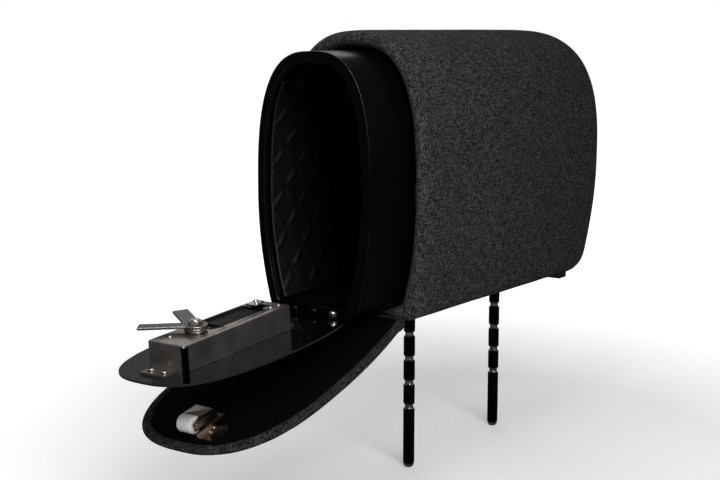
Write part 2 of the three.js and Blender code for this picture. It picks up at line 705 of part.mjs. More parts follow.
// Spindle with the two cam arms inside and the knob outside
function addLockSpindle(inner) {
  const plateFace = -doorThickness - 2 * seatGap - faceplateThickness;
  const knobBack = plateFace - runGap;
  const knobFace = knobBack - knobHeight;
  const grip = block(pivotAlong - 9, pivotAlong + 9, -2.4, 2.4, knobFace, knobBack - 2);
  const knob = cut(join(rodZ(knobRadius, knobBack - 3, knobBack, pivotAlong, 0, 28), grip),
    rodZ(spindleRadius + 0.1, knobBack - 5, knobBack + 1, pivotAlong, 0));
  piece(inner, 'turn_knob', knob, 'blackPlastic');

  const washerZ = [caseHeight + runGap, caseHeight + runGap + 1];
  const longZ = washerZ[1] + seatGap;
  const shortZ = longZ + armThickness + seatGap;
  const nutZ = shortZ + armThickness + seatGap;
  const washer = cut(rodZ(armDisc - 1.5, ...washerZ, pivotAlong, 0, 24), bore(washerZ[0]));
  piece(inner, 'spindle_washer', washer, 'nickel');
  piece(inner, 'arm_long', arm(longArmLength, longArmHalf, longArmAngle, longZ), 'bareSteel');
  piece(inner, 'arm_short', arm(shortArmLength, shortArmHalf, shortArmAngle, shortZ), 'bareSteel');
  const nut = cut(rodZ(5.2, nutZ, nutZ + 2.6, pivotAlong, 0, 6), bore(nutZ));
  piece(inner, 'hub_nut', nut, 'nickel');
  const spindle = rodZ(spindleRadius, knobBack - 4.8, nutZ + 3.4, pivotAlong, 0);
  piece(inner, 'lock_spindle', spindle, 'nickel');
}

function bore(z) {
  return rodZ(spindleRadius + 0.1, z - 1, z + 6, pivotAlong, 0);
}

function arm(length, half, angle, z) {
  const bar = block(0, length, -half, half, 0, armThickness);
  bar.rotateZ(radians(180 + angle)).translate(pivotAlong, 0, z);
  const disc = rodZ(armDisc, z, z + armThickness, pivotAlong, 0, 28);
  return cut(join(disc, bar), bore(z));
}

// Flap: local +X runs from the fold to the tip, local +Z is the way the inner face looks
function addFlap() {
  const hung = new THREE.Group();
  hung.position.set(foldX, 0, foldZ);
  hung.rotation.y = radians(-flapTilt);
  group.add(hung);
  const flap = new THREE.Group();
  flap.rotation.z = Math.PI;
  hung.add(flap);

  const start = pipingRadius + seatGap + 0.3;
  const flapArch = {
    half: flapHalfWidth, top: flapLength, wide: flapWideLevel, bottom: start,
    foot: flapFootHalf, corner: 8, power: flapPower,
  };
  const onFlap = (arch) => archPoints(arch).map(([y, z]) => [z, y]).reverse();
  const pad = flapPad(flapArch);
  const pocketArch = grow(flapArch, -flapRim, -flapRim, -flapRim + 3);
  const pocketFloor = -clothThickness - boardThickness - 0.5 - 3 * seatGap;
  const pocket = pullZ(onFlap(pocketArch), pocketFloor, 5);
  piece(flap, 'flap_pad', cut(pad, pocket), 'weave');
  const boardArch = grow(pocketArch, -seatGap);
  const boardTop = pocketFloor + seatGap + boardThickness;
  piece(flap, 'flap_board', pullZ(onFlap(boardArch), pocketFloor + seatGap, boardTop), 'board');
  const clothTop = boardTop + seatGap + clothThickness;
  piece(flap, 'flap_cloth', pullZ(onFlap(boardArch), boardTop + seatGap, clothTop), 'blackCloth');
  addCatch(flap, clothTop + seatGap);
}

// The flap's pad: the arch in layers, drawn in at the top and bottom for a rounded edge
function flapPad(flapArch) {
  const layers = [[0, 2.2], [-0.8, 0.7], [-2, 0], [-flapThickness + 2.5, 0], [-flapThickness + 0.9, 1],
    [-flapThickness, 3]];
  const rings = layers.map(([z, inset]) => ({ x: z, arch: grow(flapArch, -inset, -inset, -inset * 0.3) }));
  const middle = (flapArch.top + flapArch.bottom) / 2;
  const pad = skin(rings, [0, 0, middle], [-flapThickness, 0, middle]);
  const layDown = new THREE.Matrix4().makeBasis(
    new THREE.Vector3(0, 0, 1), new THREE.Vector3(0, 1, 0), new THREE.Vector3(1, 0, 0));
  return facingOut(pad.applyMatrix4(layDown));
}

function addCatch(flap, floor) {
  const across = -rollerAcross;
  const half = rollerLength / 2;
  const axle = floor + rollerRadius + 0.5;
  const plateHalf = half + seatGap + catchPlate + 1;
  const base = block(rollerAlong - 33, rollerAlong - 9, across - plateHalf, across + plateHalf,
    floor, floor + catchPlate);
  piece(flap, 'catch_base', base, 'nickel');

  const armStart = rollerAlong - 30;
  const armTop = axle + rollerRadius * 0.75;
  const slope = [[armStart, floor + catchPlate + seatGap], [armStart + 8, floor + catchPlate + seatGap],
    [rollerAlong + 3, axle - 3], [rollerAlong + 3.4, axle + 2.4], [rollerAlong - 6, armTop],
    [rollerAlong - 9, armTop], [armStart + 3, floor + catchPlate + 2.6],
    [armStart, floor + catchPlate + 2.6]];
  const side = half + seatGap + catchPlate;
  const body = pullY(slope, across - side, across + side);
  const under = pullY(slope.map(([x, z]) => [x, z - 1.3]), across - half - seatGap, across + half + seatGap);
  const rollerRoom = rodY(rollerRadius + runGap, across - half - seatGap, across + half + seatGap,
    rollerAlong, axle, 24);
  const pinBore = rodY(rollerPinRadius + seatGap, across - 20, across + 20, rollerAlong, axle, 12);
  piece(flap, 'catch_arm', cut(body, under, rollerRoom, pinBore), 'nickel');

  const pin = rodY(rollerPinRadius, across - side - 0.8, across + side + 0.8, rollerAlong, axle, 12);
  piece(flap, 'roller_pin', pin, 'nickel');
  const roller = cut(rodY(rollerRadius, across - half, across + half, rollerAlong, axle, 28),
    rodY(rollerPinRadius + seatGap, across - 20, across + 20, rollerAlong, axle, 12));
  piece(flap, 'catch_roller', roller, 'nylon');

  const clipX = [rollerAlong - 12, rollerAlong + 5];
  const clipY = [across + plateHalf + 1, across + plateHalf + 15.5];
  const clip = join(
    block(...clipX, ...clipY, floor, floor + 1),
    block(clipX[0], clipX[1], clipY[1] - 1, clipY[1], floor, floor + 4.5),
    block(clipX[0], clipX[1], clipY[0], clipY[0] + 1, floor, floor + 3.2),
    block(clipX[0] + 5, clipX[0] + 9, clipY[0] + 5, clipY[0] + 10, floor, floor + 3));
  piece(flap, 'catch_clip', clip, 'nickel');
  [[clipX[0] + 3, clipY[0] + 4], [clipX[1] - 3, clipY[0] + 11]].forEach(([x, y], i) => piece(
    flap, `clip_screw_${i + 1}`, panHead(x, y, floor + 1 + seatGap, 1.9, 1.5), 'nickel'));
}

function pullY(points, y0, y1) {
  const shape = new THREE.Shape(points.map(([x, z]) => new THREE.Vector2(x, z)));
  const geometry = new THREE.ExtrudeGeometry(shape, { depth: y1 - y0, bevelEnabled: false });
  return geometry.rotateX(Math.PI / 2).translate(0, y1, 0);
}

addPadding();
addPosts();
addHeadrestFittings();
addSafe();
addDoor();
addFlap();

export default group;
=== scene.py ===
"""Headrest safe: a padded car headrest on two notched posts, with an arch-shaped steel safe
drawn out of its end. All lengths are in metres."""
import math
from contextlib import contextmanager

import bmesh
import bpy
from bpy.props import FloatProperty, FloatVectorProperty, IntProperty, PointerProperty
from mathutils import Matrix, Vector, noise


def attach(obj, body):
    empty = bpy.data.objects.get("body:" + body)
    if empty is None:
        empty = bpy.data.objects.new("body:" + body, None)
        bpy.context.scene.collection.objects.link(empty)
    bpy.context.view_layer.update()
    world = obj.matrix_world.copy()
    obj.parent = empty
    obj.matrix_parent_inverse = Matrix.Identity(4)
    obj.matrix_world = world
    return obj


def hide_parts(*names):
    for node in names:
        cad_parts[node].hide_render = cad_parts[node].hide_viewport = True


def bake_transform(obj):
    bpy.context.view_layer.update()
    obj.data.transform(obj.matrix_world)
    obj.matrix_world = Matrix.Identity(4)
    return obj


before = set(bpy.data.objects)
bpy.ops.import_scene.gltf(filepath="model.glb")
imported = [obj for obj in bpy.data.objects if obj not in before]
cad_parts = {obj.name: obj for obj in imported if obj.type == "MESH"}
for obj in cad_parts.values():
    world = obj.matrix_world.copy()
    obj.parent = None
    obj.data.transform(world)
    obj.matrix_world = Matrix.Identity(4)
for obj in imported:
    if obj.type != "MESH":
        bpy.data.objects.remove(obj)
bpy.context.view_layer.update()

bl_info = {
    "name": "Headrest Safe",
    "version": (1, 0, 0),
    "blender": (4, 5, 0),
    "location": "View3D > Sidebar > Headrest Safe",
    "description": "Builds a padded headrest with a steel safe inside, its door, lock and flap",
    "category": "Object",
}

# Lengths that several pieces share
HINGE_INSET = 0.002  # from the safe's front back to the hinge's axis
HINGE_RISE = 0.0043  # from the safe's underside up to the hinge's axis
LEAF_DROP = 0.0023  # from the hinge's axis down to the door's inner face
DOOR_SHEET = 0.0016
KNUCKLE = 0.012  # width of each of the hinge's five knuckles
FACEPLATE = 0.0015
OUTSIDE = -0.0018  # level of the faceplate's back, below the door's inner face
BUTTON_HOLE = 0.0049
SPINDLE_HOLE = 0.0037
SPINDLE = 0.0034
SPINDLE_BORE = 0.0035  # in what sits on the spindle
FLAP_CLOTH_LEVEL = -0.0005  # what the catch stands on

FLOOR_GAP = 0.0002
FINE_ARCH = 240


# Sizes and colours that a user would change


def length(name, description, default):
    return FloatProperty(
        name=name, description=description, default=default, min=0.0, unit="LENGTH"
    )


def turn(name, description, degrees):
    return FloatProperty(
        name=name, description=description, default=math.radians(degrees), subtype="ANGLE"
    )


def colour(name, description, red, green, blue):
    return FloatVectorProperty(
        name=name, description=description, default=(red, green, blue, 1.0), size=4,
        min=0.0, max=1.0, subtype="COLOR",
    )


class HeadrestSizes(bpy.types.PropertyGroup):
    half: length("Half width", "Half the width of the body at its mouth", 0.070)
    far_half: length("Far half width", "Half the width at the closed end", 0.075)
    height: length("Height", "Height of the body above its underside", 0.2235)
    wide: length("Widest level", "Height at which the body is widest", 0.1077)
    foot: length("Half underside", "Half the underside's width at the mouth", 0.060)
    far_foot: length("Far half underside", "Half the underside's width at the closed end", 0.063)
    far_drop: length("Far drop", "How far the underside sinks towards the closed end", 0.003)
    mouth: length("Mouth", "From the middle between the posts to the mouth", 0.161)
    far: length("Closed end", "From the middle between the posts to the closed end", 0.157)
    crown: length("Crown", "Bulge of the closed end", 0.006)
    rim: length("Rim radius", "Rounding of the padded rim round the mouth", 0.009)
    tuck: length("Tuck", "How far the cover turns into the mouth", 0.020)
    pucker: length("Pucker", "Depth of the small gathers round the rim", 0.0002)
    ripple: length("Ripple", "Unevenness of the cover over its foam", 0.0004)
    post_radius: length("Post radius", "Radius of the two posts", 0.005)
    post_spacing: length("Post spacing", "Distance between the middles of the posts", 0.149)
    post_length: length("Post length", "Length of the posts below the body", 0.157)


class SafeSizes(bpy.types.PropertyGroup):
    half: length("Half width", "Half the width of the safe", 0.054)
    bottom: length("Floor level", "Height of the safe's underside", 0.0065)
    top: length("Top level", "Height of the safe's top", 0.208)
    wide: length("Widest level", "Height at which the safe is widest", 0.097)
    foot: length("Half floor", "Half the width of the safe's underside", 0.0408)
    front: length("Front", "From the middle between the posts to the open front", 0.212)
    back: length("Back", "How far the safe reaches past the middle between the posts", 0.006)
    wall: length("Wall", "Thickness of the steel", 0.002)
    frame_width: length("Frame width", "Width of the steel folded in round the opening", 0.0085)
    lozenge: length("Tread pitch", "Distance between the lining's raised strokes", 0.0165)
    relief: length("Tread height", "How far the lining's strokes stand out", 0.0016)


class DoorSizes(bpy.types.PropertyGroup):
    tilt: turn("Door tilt", "How far the open door hangs below the level", 4.3)
    case_start: length("Case start", "From the hinge to the lock case", 0.050)
    case_length: length("Case length", "Length of the lock case", 0.115)
    case_half: length("Case half width", "Half the width of the lock case", 0.01675)
    case_height: length("Case height", "Height of the lock case above the door", 0.019)
    pivot: length("Spindle", "From the hinge to the lock's spindle", 0.134)
    button_pitch: length("Button pitch", "Distance between neighbouring buttons", 0.013)
    buttons: IntProperty(name="Buttons", description="Number of buttons", default=5, min=1)


class FlapSizes(bpy.types.PropertyGroup):
    tilt: turn("Flap tilt", "How far the open flap hangs below the level", 15.6)
    half: length("Half width", "Half the width of the flap", 0.067)
    tip: length("Flap length", "From the fold to the flap's tip", 0.2167)
    wide: length("Widest place", "From the fold to where the flap is widest", 0.117)
    foot: length("Half root", "Half the width of the flap at the fold", 0.054)
    rim: length("Rim width", "Width of the rolled edge", 0.007)
    thickness: length("Thickness", "Thickness of the padded flap", 0.007)
    crown: length("Crown", "Bulge of the flap's outer face", 0.0016)
    roller: length("Roller place", "From the fold to the catch roller", 0.199)
    roller_radius: length("Roller radius", "Radius of the catch roller", 0.0065)


class Colours(bpy.types.PropertyGroup):
    thread: colour("Thread", "Main colour of the woven cover", 0.0146, 0.0147, 0.0153)
    fleck: colour("Fleck", "Pale threads in the cover", 0.118, 0.119, 0.123)
    flap_cloth: colour("Flap cloth", "Cloth inside the flap", 0.0018, 0.0018, 0.0020)
    lining: colour("Lining", "Tread lining inside the safe", 0.0026, 0.0021, 0.0016)
    paint: colour("Black paint", "Painted steel", 0.0016, 0.0016, 0.0017)
    case: colour("Lock case", "Brushed lock case", 0.43, 0.397, 0.372)
    lock: colour("Lock steel", "Cam arms, faceplate and buttons", 0.21, 0.195, 0.183)
    brass: colour("Warm plating", "Small clip of the catch", 0.90, 0.74, 0.62)
    nylon: colour("Nylon", "Catch roller", 0.90, 0.90, 0.92)
    plastic: colour("Black plastic", "Moulded parts", 0.012, 0.012, 0.013)


class HeadrestSafeSettings(bpy.types.PropertyGroup):
    headrest: PointerProperty(type=HeadrestSizes)
    safe: PointerProperty(type=SafeSizes)
    door: PointerProperty(type=DoorSizes)
    flap: PointerProperty(type=FlapSizes)
    colours: PointerProperty(type=Colours)


def settings():
    return bpy.context.scene.headrest_safe


# Picking up, shaping and placing a piece


def clear():
    if bpy.context.mode != "OBJECT":
        bpy.ops.object.mode_set(mode="OBJECT")
    bpy.ops.object.select_all(action="DESELECT")


def take(obj):
    clear()
    obj.select_set(True)
    bpy.context.view_layer.objects.active = obj
    return obj


@contextmanager
def editing(obj):
    """Edit mode on one piece, with the whole of it selected."""
    take(obj)
    bpy.ops.object.mode_set(mode="EDIT")
    bpy.ops.mesh.select_all(action="SELECT")
    yield
    bpy.ops.object.mode_set(mode="OBJECT")


def pick(obj, kind, test):
    """In edit mode, selects only the faces or edges that pass the test."""
    bpy.ops.mesh.select_mode(type=kind)
    bpy.ops.mesh.select_all(action="DESELECT")
    mesh = bmesh.from_edit_mesh(obj.data)
    for item in mesh.faces if kind == "FACE" else mesh.edges:
        if test(item):
            item.select_set(True)
    mesh.select_flush_mode()
    bmesh.update_edit_mesh(obj.data)


def upright(edge):
    first, second = edge.verts
    return abs((second.co - first.co).normalized().z) > 0.9


def apply_place():
    bpy.ops.object.transform_apply(location=True, rotation=True, scale=True)


def named(name):
    obj = bpy.context.active_object
    obj.name = obj.data.name = name
    apply_place()
    return obj


def place(obj, matrix):
    take(obj)
    obj.matrix_world = matrix @ obj.matrix_world
    apply_place()
    return obj


def shifted(x, y, z):
    return Matrix.Translation((x, y, z))


def turned(angle, axis="Z"):
    return Matrix.Rotation(angle, 4, axis)


def copy_of(obj, name):
    twin = obj.copy()
    twin.data = obj.data.copy()
    twin.name = twin.data.name = name
    bpy.context.collection.objects.link(twin)
    return twin


def copies(obj, count):
    """The piece and its copies; its name ends in _1, and theirs in the next numbers."""
    return [obj] + [copy_of(obj, f"{obj.name[:-1]}{i}") for i in range(2, count + 1)]


def modify(obj, kind, **values):
    take(obj)
    modifier = obj.modifiers.new(kind.title(), kind)
    for key, value in values.items():
        setattr(modifier, key, value)
    bpy.ops.object.modifier_apply(modifier=modifier.name)
    return obj


def combined(operation, obj, *others):
    for other in others:
        modify(obj, "BOOLEAN", operation=operation, object=other, solver="EXACT")
        bpy.data.objects.remove(other)
    return obj


def cut(obj, *tools):
    return combined("DIFFERENCE", obj, *tools)


def weld(obj, *others):
    return combined("UNION", obj, *others)


def shade(obj, degrees=32):
    take(obj)
    bpy.ops.object.shade_smooth_by_angle(angle=math.radians(degrees))
    return obj


def soften(obj, width, segments=2, degrees=35, rubbed=None):
    """Rounds every edge sharper than the angle. The finish in the last argument goes on the rounded
    edges: a brighter one that paints a highlight along them.
    """
    if rubbed is not None:
        obj.data.materials.clear()
        obj.data.materials.append(None)
        obj.data.materials.append(finish(rubbed))
    modify(
        obj, "BEVEL", width=width, segments=segments, limit_method="ANGLE",
        angle_limit=math.radians(degrees), miter_outer="MITER_ARC",
        material=-1 if rubbed is None else 1,
    )
    shade(obj)
    return modify(obj, "WEIGHTED_NORMAL", keep_sharp=True)


def smoothed(obj):
    return modify(obj, "SUBSURF", levels=1, render_levels=1)


def thickened(obj, thickness, offset=-1.0):
    return modify(obj, "SOLIDIFY", thickness=thickness, offset=offset)


def roughened(obj, away):
    """Moves each vertex along its normal, as far as away says for its place."""
    normals = [v.normal.copy() for v in obj.data.vertices]
    for vertex, normal in zip(obj.data.vertices, normals):
        vertex.co += normal * away(vertex.co)
    return obj


def facing(obj, score):
    """Turns a skin over unless most of its faces score above nothing."""
    if sum(score(face) for face in obj.data.polygons) < 0:
        obj.data.flip_normals()
    return obj


def fit(obj, body, look, slot, *nodes, at=None):
    """Puts a finished piece in place and gives it its finish. body is what it rides on, or None
    for cloth that crosses a joint, slot is not used, and nodes what it stands for."""
    if at is not None:
        place(obj, at)
    if len(obj.data.materials) > 1:
        obj.data.materials[0] = finish(look)
    else:
        obj.data.materials.clear()
        obj.data.materials.append(finish(look))
    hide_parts(*nodes)
    if body is not None:
        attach(obj, body)
    return obj


# Starting shapes


def block(name, x0, x1, y0, y1, z0, z1):
    clear()
    middle = ((x0 + x1) / 2, (y0 + y1) / 2, (z0 + z1) / 2)
    bpy.ops.mesh.primitive_cube_add(size=1, location=middle)
    bpy.context.active_object.scale = (x1 - x0, y1 - y0, z1 - z0)
    return named(name)


def rod(name, radius, start, end, sides=32):
    """A cylinder between two points."""
    clear()
    start, end = Vector(start), Vector(end)
    along = end - start
    bpy.ops.mesh.primitive_cylinder_add(
        vertices=sides, radius=radius, depth=along.length, location=(start + end) / 2,
        rotation=along.to_track_quat("Z", "Y").to_euler(),
    )
    return named(name)


def bore(radius, low, high, x=0.0, sides=32):
    """What an upright hole takes away."""
    return rod("bore", radius, (x, 0, low), (x, 0, high), sides)


def blank(name, points, at, fill="NGON"):
    """A circle whose vertices are set along an outline; at turns an outline point into a place."""
    clear()
    bpy.ops.mesh.primitive_circle_add(vertices=len(points), radius=0.01, fill_type=fill)
    obj = named(name)
    for vertex, point in zip(obj.data.vertices, points):
        vertex.co = at(*point)
    return obj


def on_x(x):
    return lambda y, z: (x, y, z)


def on_y(y):
    return lambda x, z: (x, y, z)


def on_z(z):
    return lambda x, y: (x, y, z)


def pulled(obj, by, steps=1):
    """Extrudes the whole blank by a distance, in equal steps."""
    step = {"value": tuple(Vector(by) / steps)}
    with editing(obj):
        for _ in range(steps):
            bpy.ops.mesh.extrude_region_move(TRANSFORM_OT_translate=step)
        bpy.ops.mesh.select_all(action="SELECT")
        bpy.ops.mesh.normals_make_consistent(inside=False)
    return obj


def joined(obj, gap=1e-6):
    """Joins vertices that meet, and turns every face outwards."""
    with editing(obj):
        bpy.ops.mesh.remove_doubles(threshold=gap)
        bpy.ops.mesh.normals_make_consistent(inside=False)
    return obj


def spun(name, profile, sides=40, closed=False):
    """Turns a profile of (radius, height) about the Z axis."""
    exact = lambda point: tuple(round(v, 7) for v in point)
    obj = blank(name, profile, lambda r, z: (r, 0, z), fill="NOTHING")
    with editing(obj):
        if not closed:
            ends = {exact((r, 0, z)) for r, z in (profile[0], profile[-1])}
            pick(obj, "EDGE", lambda edge: {exact(v.co) for v in edge.verts} == ends)
            bpy.ops.mesh.delete(type="EDGE")
        bpy.ops.mesh.select_mode(type="VERT")
        bpy.ops.mesh.select_all(action="SELECT")
        bpy.ops.mesh.spin(steps=sides, angle=math.tau, center=(0, 0, 0), axis=(0, 0, 1))
    return joined(obj)


def rounding(count):
    """Sine and cosine of equal steps through a quarter turn."""
    angles = [math.pi / 2 * i / count for i in range(count + 1)]
    return [(math.sin(angle), math.cos(angle)) for angle in angles]


def pan_screw(name, radius, height):
    """A pan-head screw standing on the origin, with a cross recess."""
    shoulder = 0.42
    profile = [
        (0.0, 0.0), (radius * 0.96, 0.0), (radius, radius * 0.06), (radius, height * shoulder),
    ]
    for sine, cosine in rounding(6)[1:]:
        level = height * (shoulder + (1 - shoulder) * sine)
        profile.append((radius * (0.55 + 0.45 * cosine), level))
    profile.append((0.0, height))
    head = spun(name, profile, 32)
    deep = height - min(0.0012, height * 0.5)
    narrow, wide = radius * 0.11, radius * 0.55
    for a, b in ((wide, narrow), (narrow, wide)):
        cut(head, block("slot", -a, a, -b, b, deep, height + 0.001))
    return soften(head, 0.00008, 1, 40)


def screws(name, piece, radius, height, body, looks, at, places, turns):
    """Like screws at several places; turns gives the first screw's angle and each next step."""
    heads = copies(pan_screw(f"{name}_1", radius, height), len(places))
    for i, (head, look, spot) in enumerate(zip(heads, looks, places)):
        where = at @ shifted(*spot) @ turned(turns[0] + turns[1] * i)
        fit(head, body, look, "nickel", f"{piece}_{i + 1}", at=where)


# The arch that the body, safe, door and flap share


def arch(half, top, wide, bottom, foot, corner, power=2.8):
    return {
        "half": half, "top": top, "wide": wide, "bottom": bottom, "foot": foot,
        "corner": corner, "power": power,
    }


def grown(shape, side, above=None, below=None):
    above = side if above is None else above
    below = side if below is None else below
    return {
        **shape, "half": shape["half"] + side, "top": shape["top"] + above,
        "bottom": shape["bottom"] - below, "foot": shape["foot"] + side,
        "corner": max(0.001, shape["corner"] + side),
    }


def between(first, second, share):
    return {key: first[key] + (second[key] - first[key]) * share for key in first}


def half_line(shape):
    """Fine points from the middle of the foot up one side to the middle of the top."""
    half, top, wide, bottom, foot, corner, power = shape.values()
    side = lambda z: half - (half - foot) * ((wide - z) / (wide - bottom)) ** 2
    knee, flat = bottom + corner, foot - corner
    line = [(flat * i / 12, bottom) for i in range(12)]
    for i in range(12):
        t = i / 12
        a, b, c = (1 - t) ** 2, 2 * t * (1 - t), t * t
        line.append((a * flat + b * foot + c * side(knee), (a + b) * bottom + c * knee))
    for i in range(30):
        z = knee + (wide - knee) * i / 30
        line.append((side(z), z))
    for sine, cosine in rounding(120):
        line.append((
            half * max(0.0, cosine) ** (2 / power), wide + (top - wide) * sine ** (2 / power),
        ))
    line[-1] = (0.0, top)
    return line


def run_of(line):
    """How far along a line each of its points lies."""
    run = [0.0]
    for a, b in zip(line, line[1:]):
        run.append(run[-1] + math.dist(a, b))
    return run


def resampled(line, count):
    """The same line with that many equal steps."""
    run = run_of(line)
    made, at = [], 0
    for i in range(count + 1):
        want = run[-1] * i / count
        while at < len(run) - 2 and run[at + 1] < want:
            at += 1
        share = (want - run[at]) / max(1e-12, run[at + 1] - run[at])
        made.append(tuple(p + (q - p) * share for p, q in zip(line[at], line[at + 1])))
    return made


def mirrored(line):
    """A line that ends on the middle, and its mirror image back again."""
    return line + [(-y, z) for y, z in reversed(line[:-1])]


def arch_line(shape, count):
    """A closed outline of count points, from the middle of the foot round to it again."""
    return mirrored(resampled(half_line(shape), count // 2))[:-1]


def arch_ring(shape, count, x):
    return [(x, y, z) for y, z in arch_line(shape, count)]


def body_arch():
    h = settings().headrest
    return arch(h.half, h.height, h.wide, 0.0, h.foot, 0.012)


def shell_arch():
    s = settings().safe
    return arch(s.half, s.top, s.wide, s.bottom, s.foot, 0.005)


def mouth_arch():
    return grown(shell_arch(), 0.004, 0.0022, 0.0009)


def hung(x, z, tilt):
    """The place of a leaf that hangs open from a line across. Its first axis points outwards,
    and its third the way that its inner face looks."""
    c, s = math.cos(tilt), math.sin(tilt)
    return Matrix(((-c, 0, -s, x), (0, -1, 0, 0), (-s, 0, c, z), (0, 0, 0, 1)))


def hinge_axis():
    s = settings().safe
    return HINGE_INSET - s.front, s.bottom + HINGE_RISE


def door_place():
    return hung(*hinge_axis(), settings().door.tilt) @ shifted(0, 0, -LEAF_DROP)


def flap_place():
    return hung(-settings().headrest.mouth - 0.001, 0.0012, settings().flap.tilt)


# Soft pieces are lofted in code, with a cloth map in metres


def soft(name, rings, start=False, end=False, girth=None, flat=None, closed=True):
    """Skins rings of points. start and end close the first and last ring with a grid. flat turns
    a face's middle and normal into a function that lays its corners flat on the cloth map, or
    None where the cloth runs on round the piece."""
    mesh = bpy.data.meshes.new(name)
    count = len(rings[0])
    girth = girth or run_of(rings[0] + rings[0][:1])[-1]
    along = [0.0]
    for a, b in zip(rings, rings[1:]):
        along.append(along[-1] + sum(math.dist(p, q) for p, q in zip(a, b)) / count)
    made = bmesh.new()
    cloth = made.loops.layers.uv.new("cloth")
    verts = [[made.verts.new(p) for p in ring] for ring in rings]
    for r in range(len(rings) - 1):
        for i in range(count if closed else count - 1):
            corners = ((r, i), (r, i + 1), (r + 1, i + 1), (r + 1, i))
            face = made.faces.new([verts[row][at % count] for row, at in corners])
            for loop, (row, at) in zip(face.loops, corners):
                loop[cloth].uv = (along[row], at * girth / count)
    made.to_mesh(mesh)
    made.free()
    obj = bpy.data.objects.new(name, mesh)
    bpy.context.collection.objects.link(obj)
    with editing(obj):
        for wanted, first in ((start, 0), (end, (len(rings) - 1) * count)):
            if wanted:
                ring = range(first, first + count)
                pick(obj, "EDGE", lambda edge: all(v.index in ring for v in edge.verts))
                bpy.ops.mesh.fill_grid(span=count // 4)
    made = bmesh.new()
    made.from_mesh(mesh)
    cloth = made.loops.layers.uv["cloth"]
    bmesh.ops.recalc_face_normals(made, faces=made.faces)
    for face in made.faces if flat else ():
        lay = flat(face.calc_center_median(), face.normal)
        for loop in face.loops if lay else ():
            loop[cloth].uv = lay(loop.vert.co)
    made.to_mesh(mesh)
    made.free()
    return shade(obj, 180)


def fill_out(obj, held, pressure, cap, frames):
    """Blows a cover up over its filling by cloth simulation. held says which points the seams
    keep in place, and cap how far a point may move."""
    rest = [v.co.copy() for v in obj.data.vertices]
    group = obj.vertex_groups.new(name="held")
    group.add([i for i, co in enumerate(rest) if held(co)], 1.0, "REPLACE")
    cloth = obj.modifiers.new("Cloth", "CLOTH")
    cloth.settings.use_pressure = True
    cloth.settings.uniform_pressure_force = pressure
    cloth.settings.effector_weights.gravity = 0
    cloth.settings.vertex_group_mass = "held"
    cloth.settings.quality = 4
    cloth.point_cache.frame_start, cloth.point_cache.frame_end = 1, frames
    for step in range(1, frames + 1):
        bpy.context.scene.frame_set(step)
    blown = obj.evaluated_get(bpy.context.evaluated_depsgraph_get()).data
    moves = [blown.vertices[i].co - co for i, co in enumerate(rest)]
    obj.modifiers.remove(cloth)
    obj.vertex_groups.remove(group)
    for vertex, co, move in zip(obj.data.vertices, rest, moves):
        vertex.co = co + move * min(1.0, cap / max(1e-9, move.length))
    bpy.context.scene.frame_set(1)
    return obj


# Finishes


class Nodes:
    """Builds a shader tree. Any input takes a socket or a plain value."""

    def __init__(self, tree):
        self.tree = tree

    def join(self, value, socket):
        if isinstance(value, bpy.types.NodeSocket):
            self.tree.links.new(value, socket)
        else:
            socket.default_value = value

    def fill(self, made, inputs):
        for key, value in inputs.items():
            self.join(value, made.inputs[key.replace("_", " ")])
        return made

    def add(self, kind, values=None, **inputs):
        made = self.tree.nodes.new("ShaderNode" + kind)
        for key, value in (values or {}).items():
            setattr(made, key, value)
        return self.fill(made, inputs)

    def row(self, kind, terms, values=None):
        """A node whose inputs are filled in their order."""
        made = self.add(kind, values)
        for at, term in enumerate(terms):
            self.join(term, made.inputs[at])
        return made.outputs[0]

    def math(self, operation, *terms, clamp=False):
        return self.row("Math", terms, {"operation": operation, "use_clamp": clamp})

    def times(self, first, second, clamp=False):
        return self.math("MULTIPLY", first, second, clamp=clamp)

    def plus(self, first, second, clamp=False):
        return self.math("ADD", first, second, clamp=clamp)

    def most(self, first, second):
        return self.math("MAXIMUM", first, second)

    def spread(self, value, low, high, new_low=0.0, new_high=1.0):
        return self.row("MapRange", (value, low, high, new_low, new_high))

    def mix(self, share, first, second):
        made = self.add("Mix", {"data_type": "RGBA"})
        for at, term in ((0, share), (6, first), (7, second)):
            self.join(term, made.inputs[at])
        return made.outputs[2]

    def speckle(self, vector, scale, detail=2.0, roughness=0.5):
        return self.add(
            "TexNoise", Vector=vector, Scale=scale, Detail=detail, Roughness=roughness,
        ).outputs["Fac"]

    def cloud(self, scale, detail=3.0, roughness=0.5):
        return self.spread(self.speckle(self.where, scale, detail, roughness), 0.35, 0.65)

    def stretched(self, vector, scale=(1.0, 1.0, 1.0), turned=(0.0, 0.0, 0.0)):
        return self.add("Mapping", Vector=vector, Scale=scale, Rotation=turned).outputs[0]

    def axes(self, vector):
        return self.add("SeparateXYZ", Vector=vector).outputs[:]

    def effect(self, build, results, vector, **levels):
        """A node group, which is built the first time that it is asked for."""
        name = build.__name__.replace("_", " ").title()
        tree = bpy.data.node_groups.get(name)
        if tree is None:
            tree = bpy.data.node_groups.new(name, "ShaderNodeTree")
            sockets = [("Vector", "INPUT", "Vector")] + [(key, "INPUT", "Float") for key in levels]
            for label, way, kind in sockets + [(key, "OUTPUT", "Float") for key in results]:
                tree.interface.new_socket(label, in_out=way, socket_type="NodeSocket" + kind)
            given, result = (tree.nodes.new("NodeGroup" + end) for end in ("Input", "Output"))
            inside = Nodes(tree)
            for label, value in build(inside, **{
                label.lower(): given.outputs[label] for label, way, kind in sockets
            }).items():
                inside.join(value, result.inputs[label])
        return self.add("Group", {"node_tree": tree}, Vector=vector, **levels).outputs


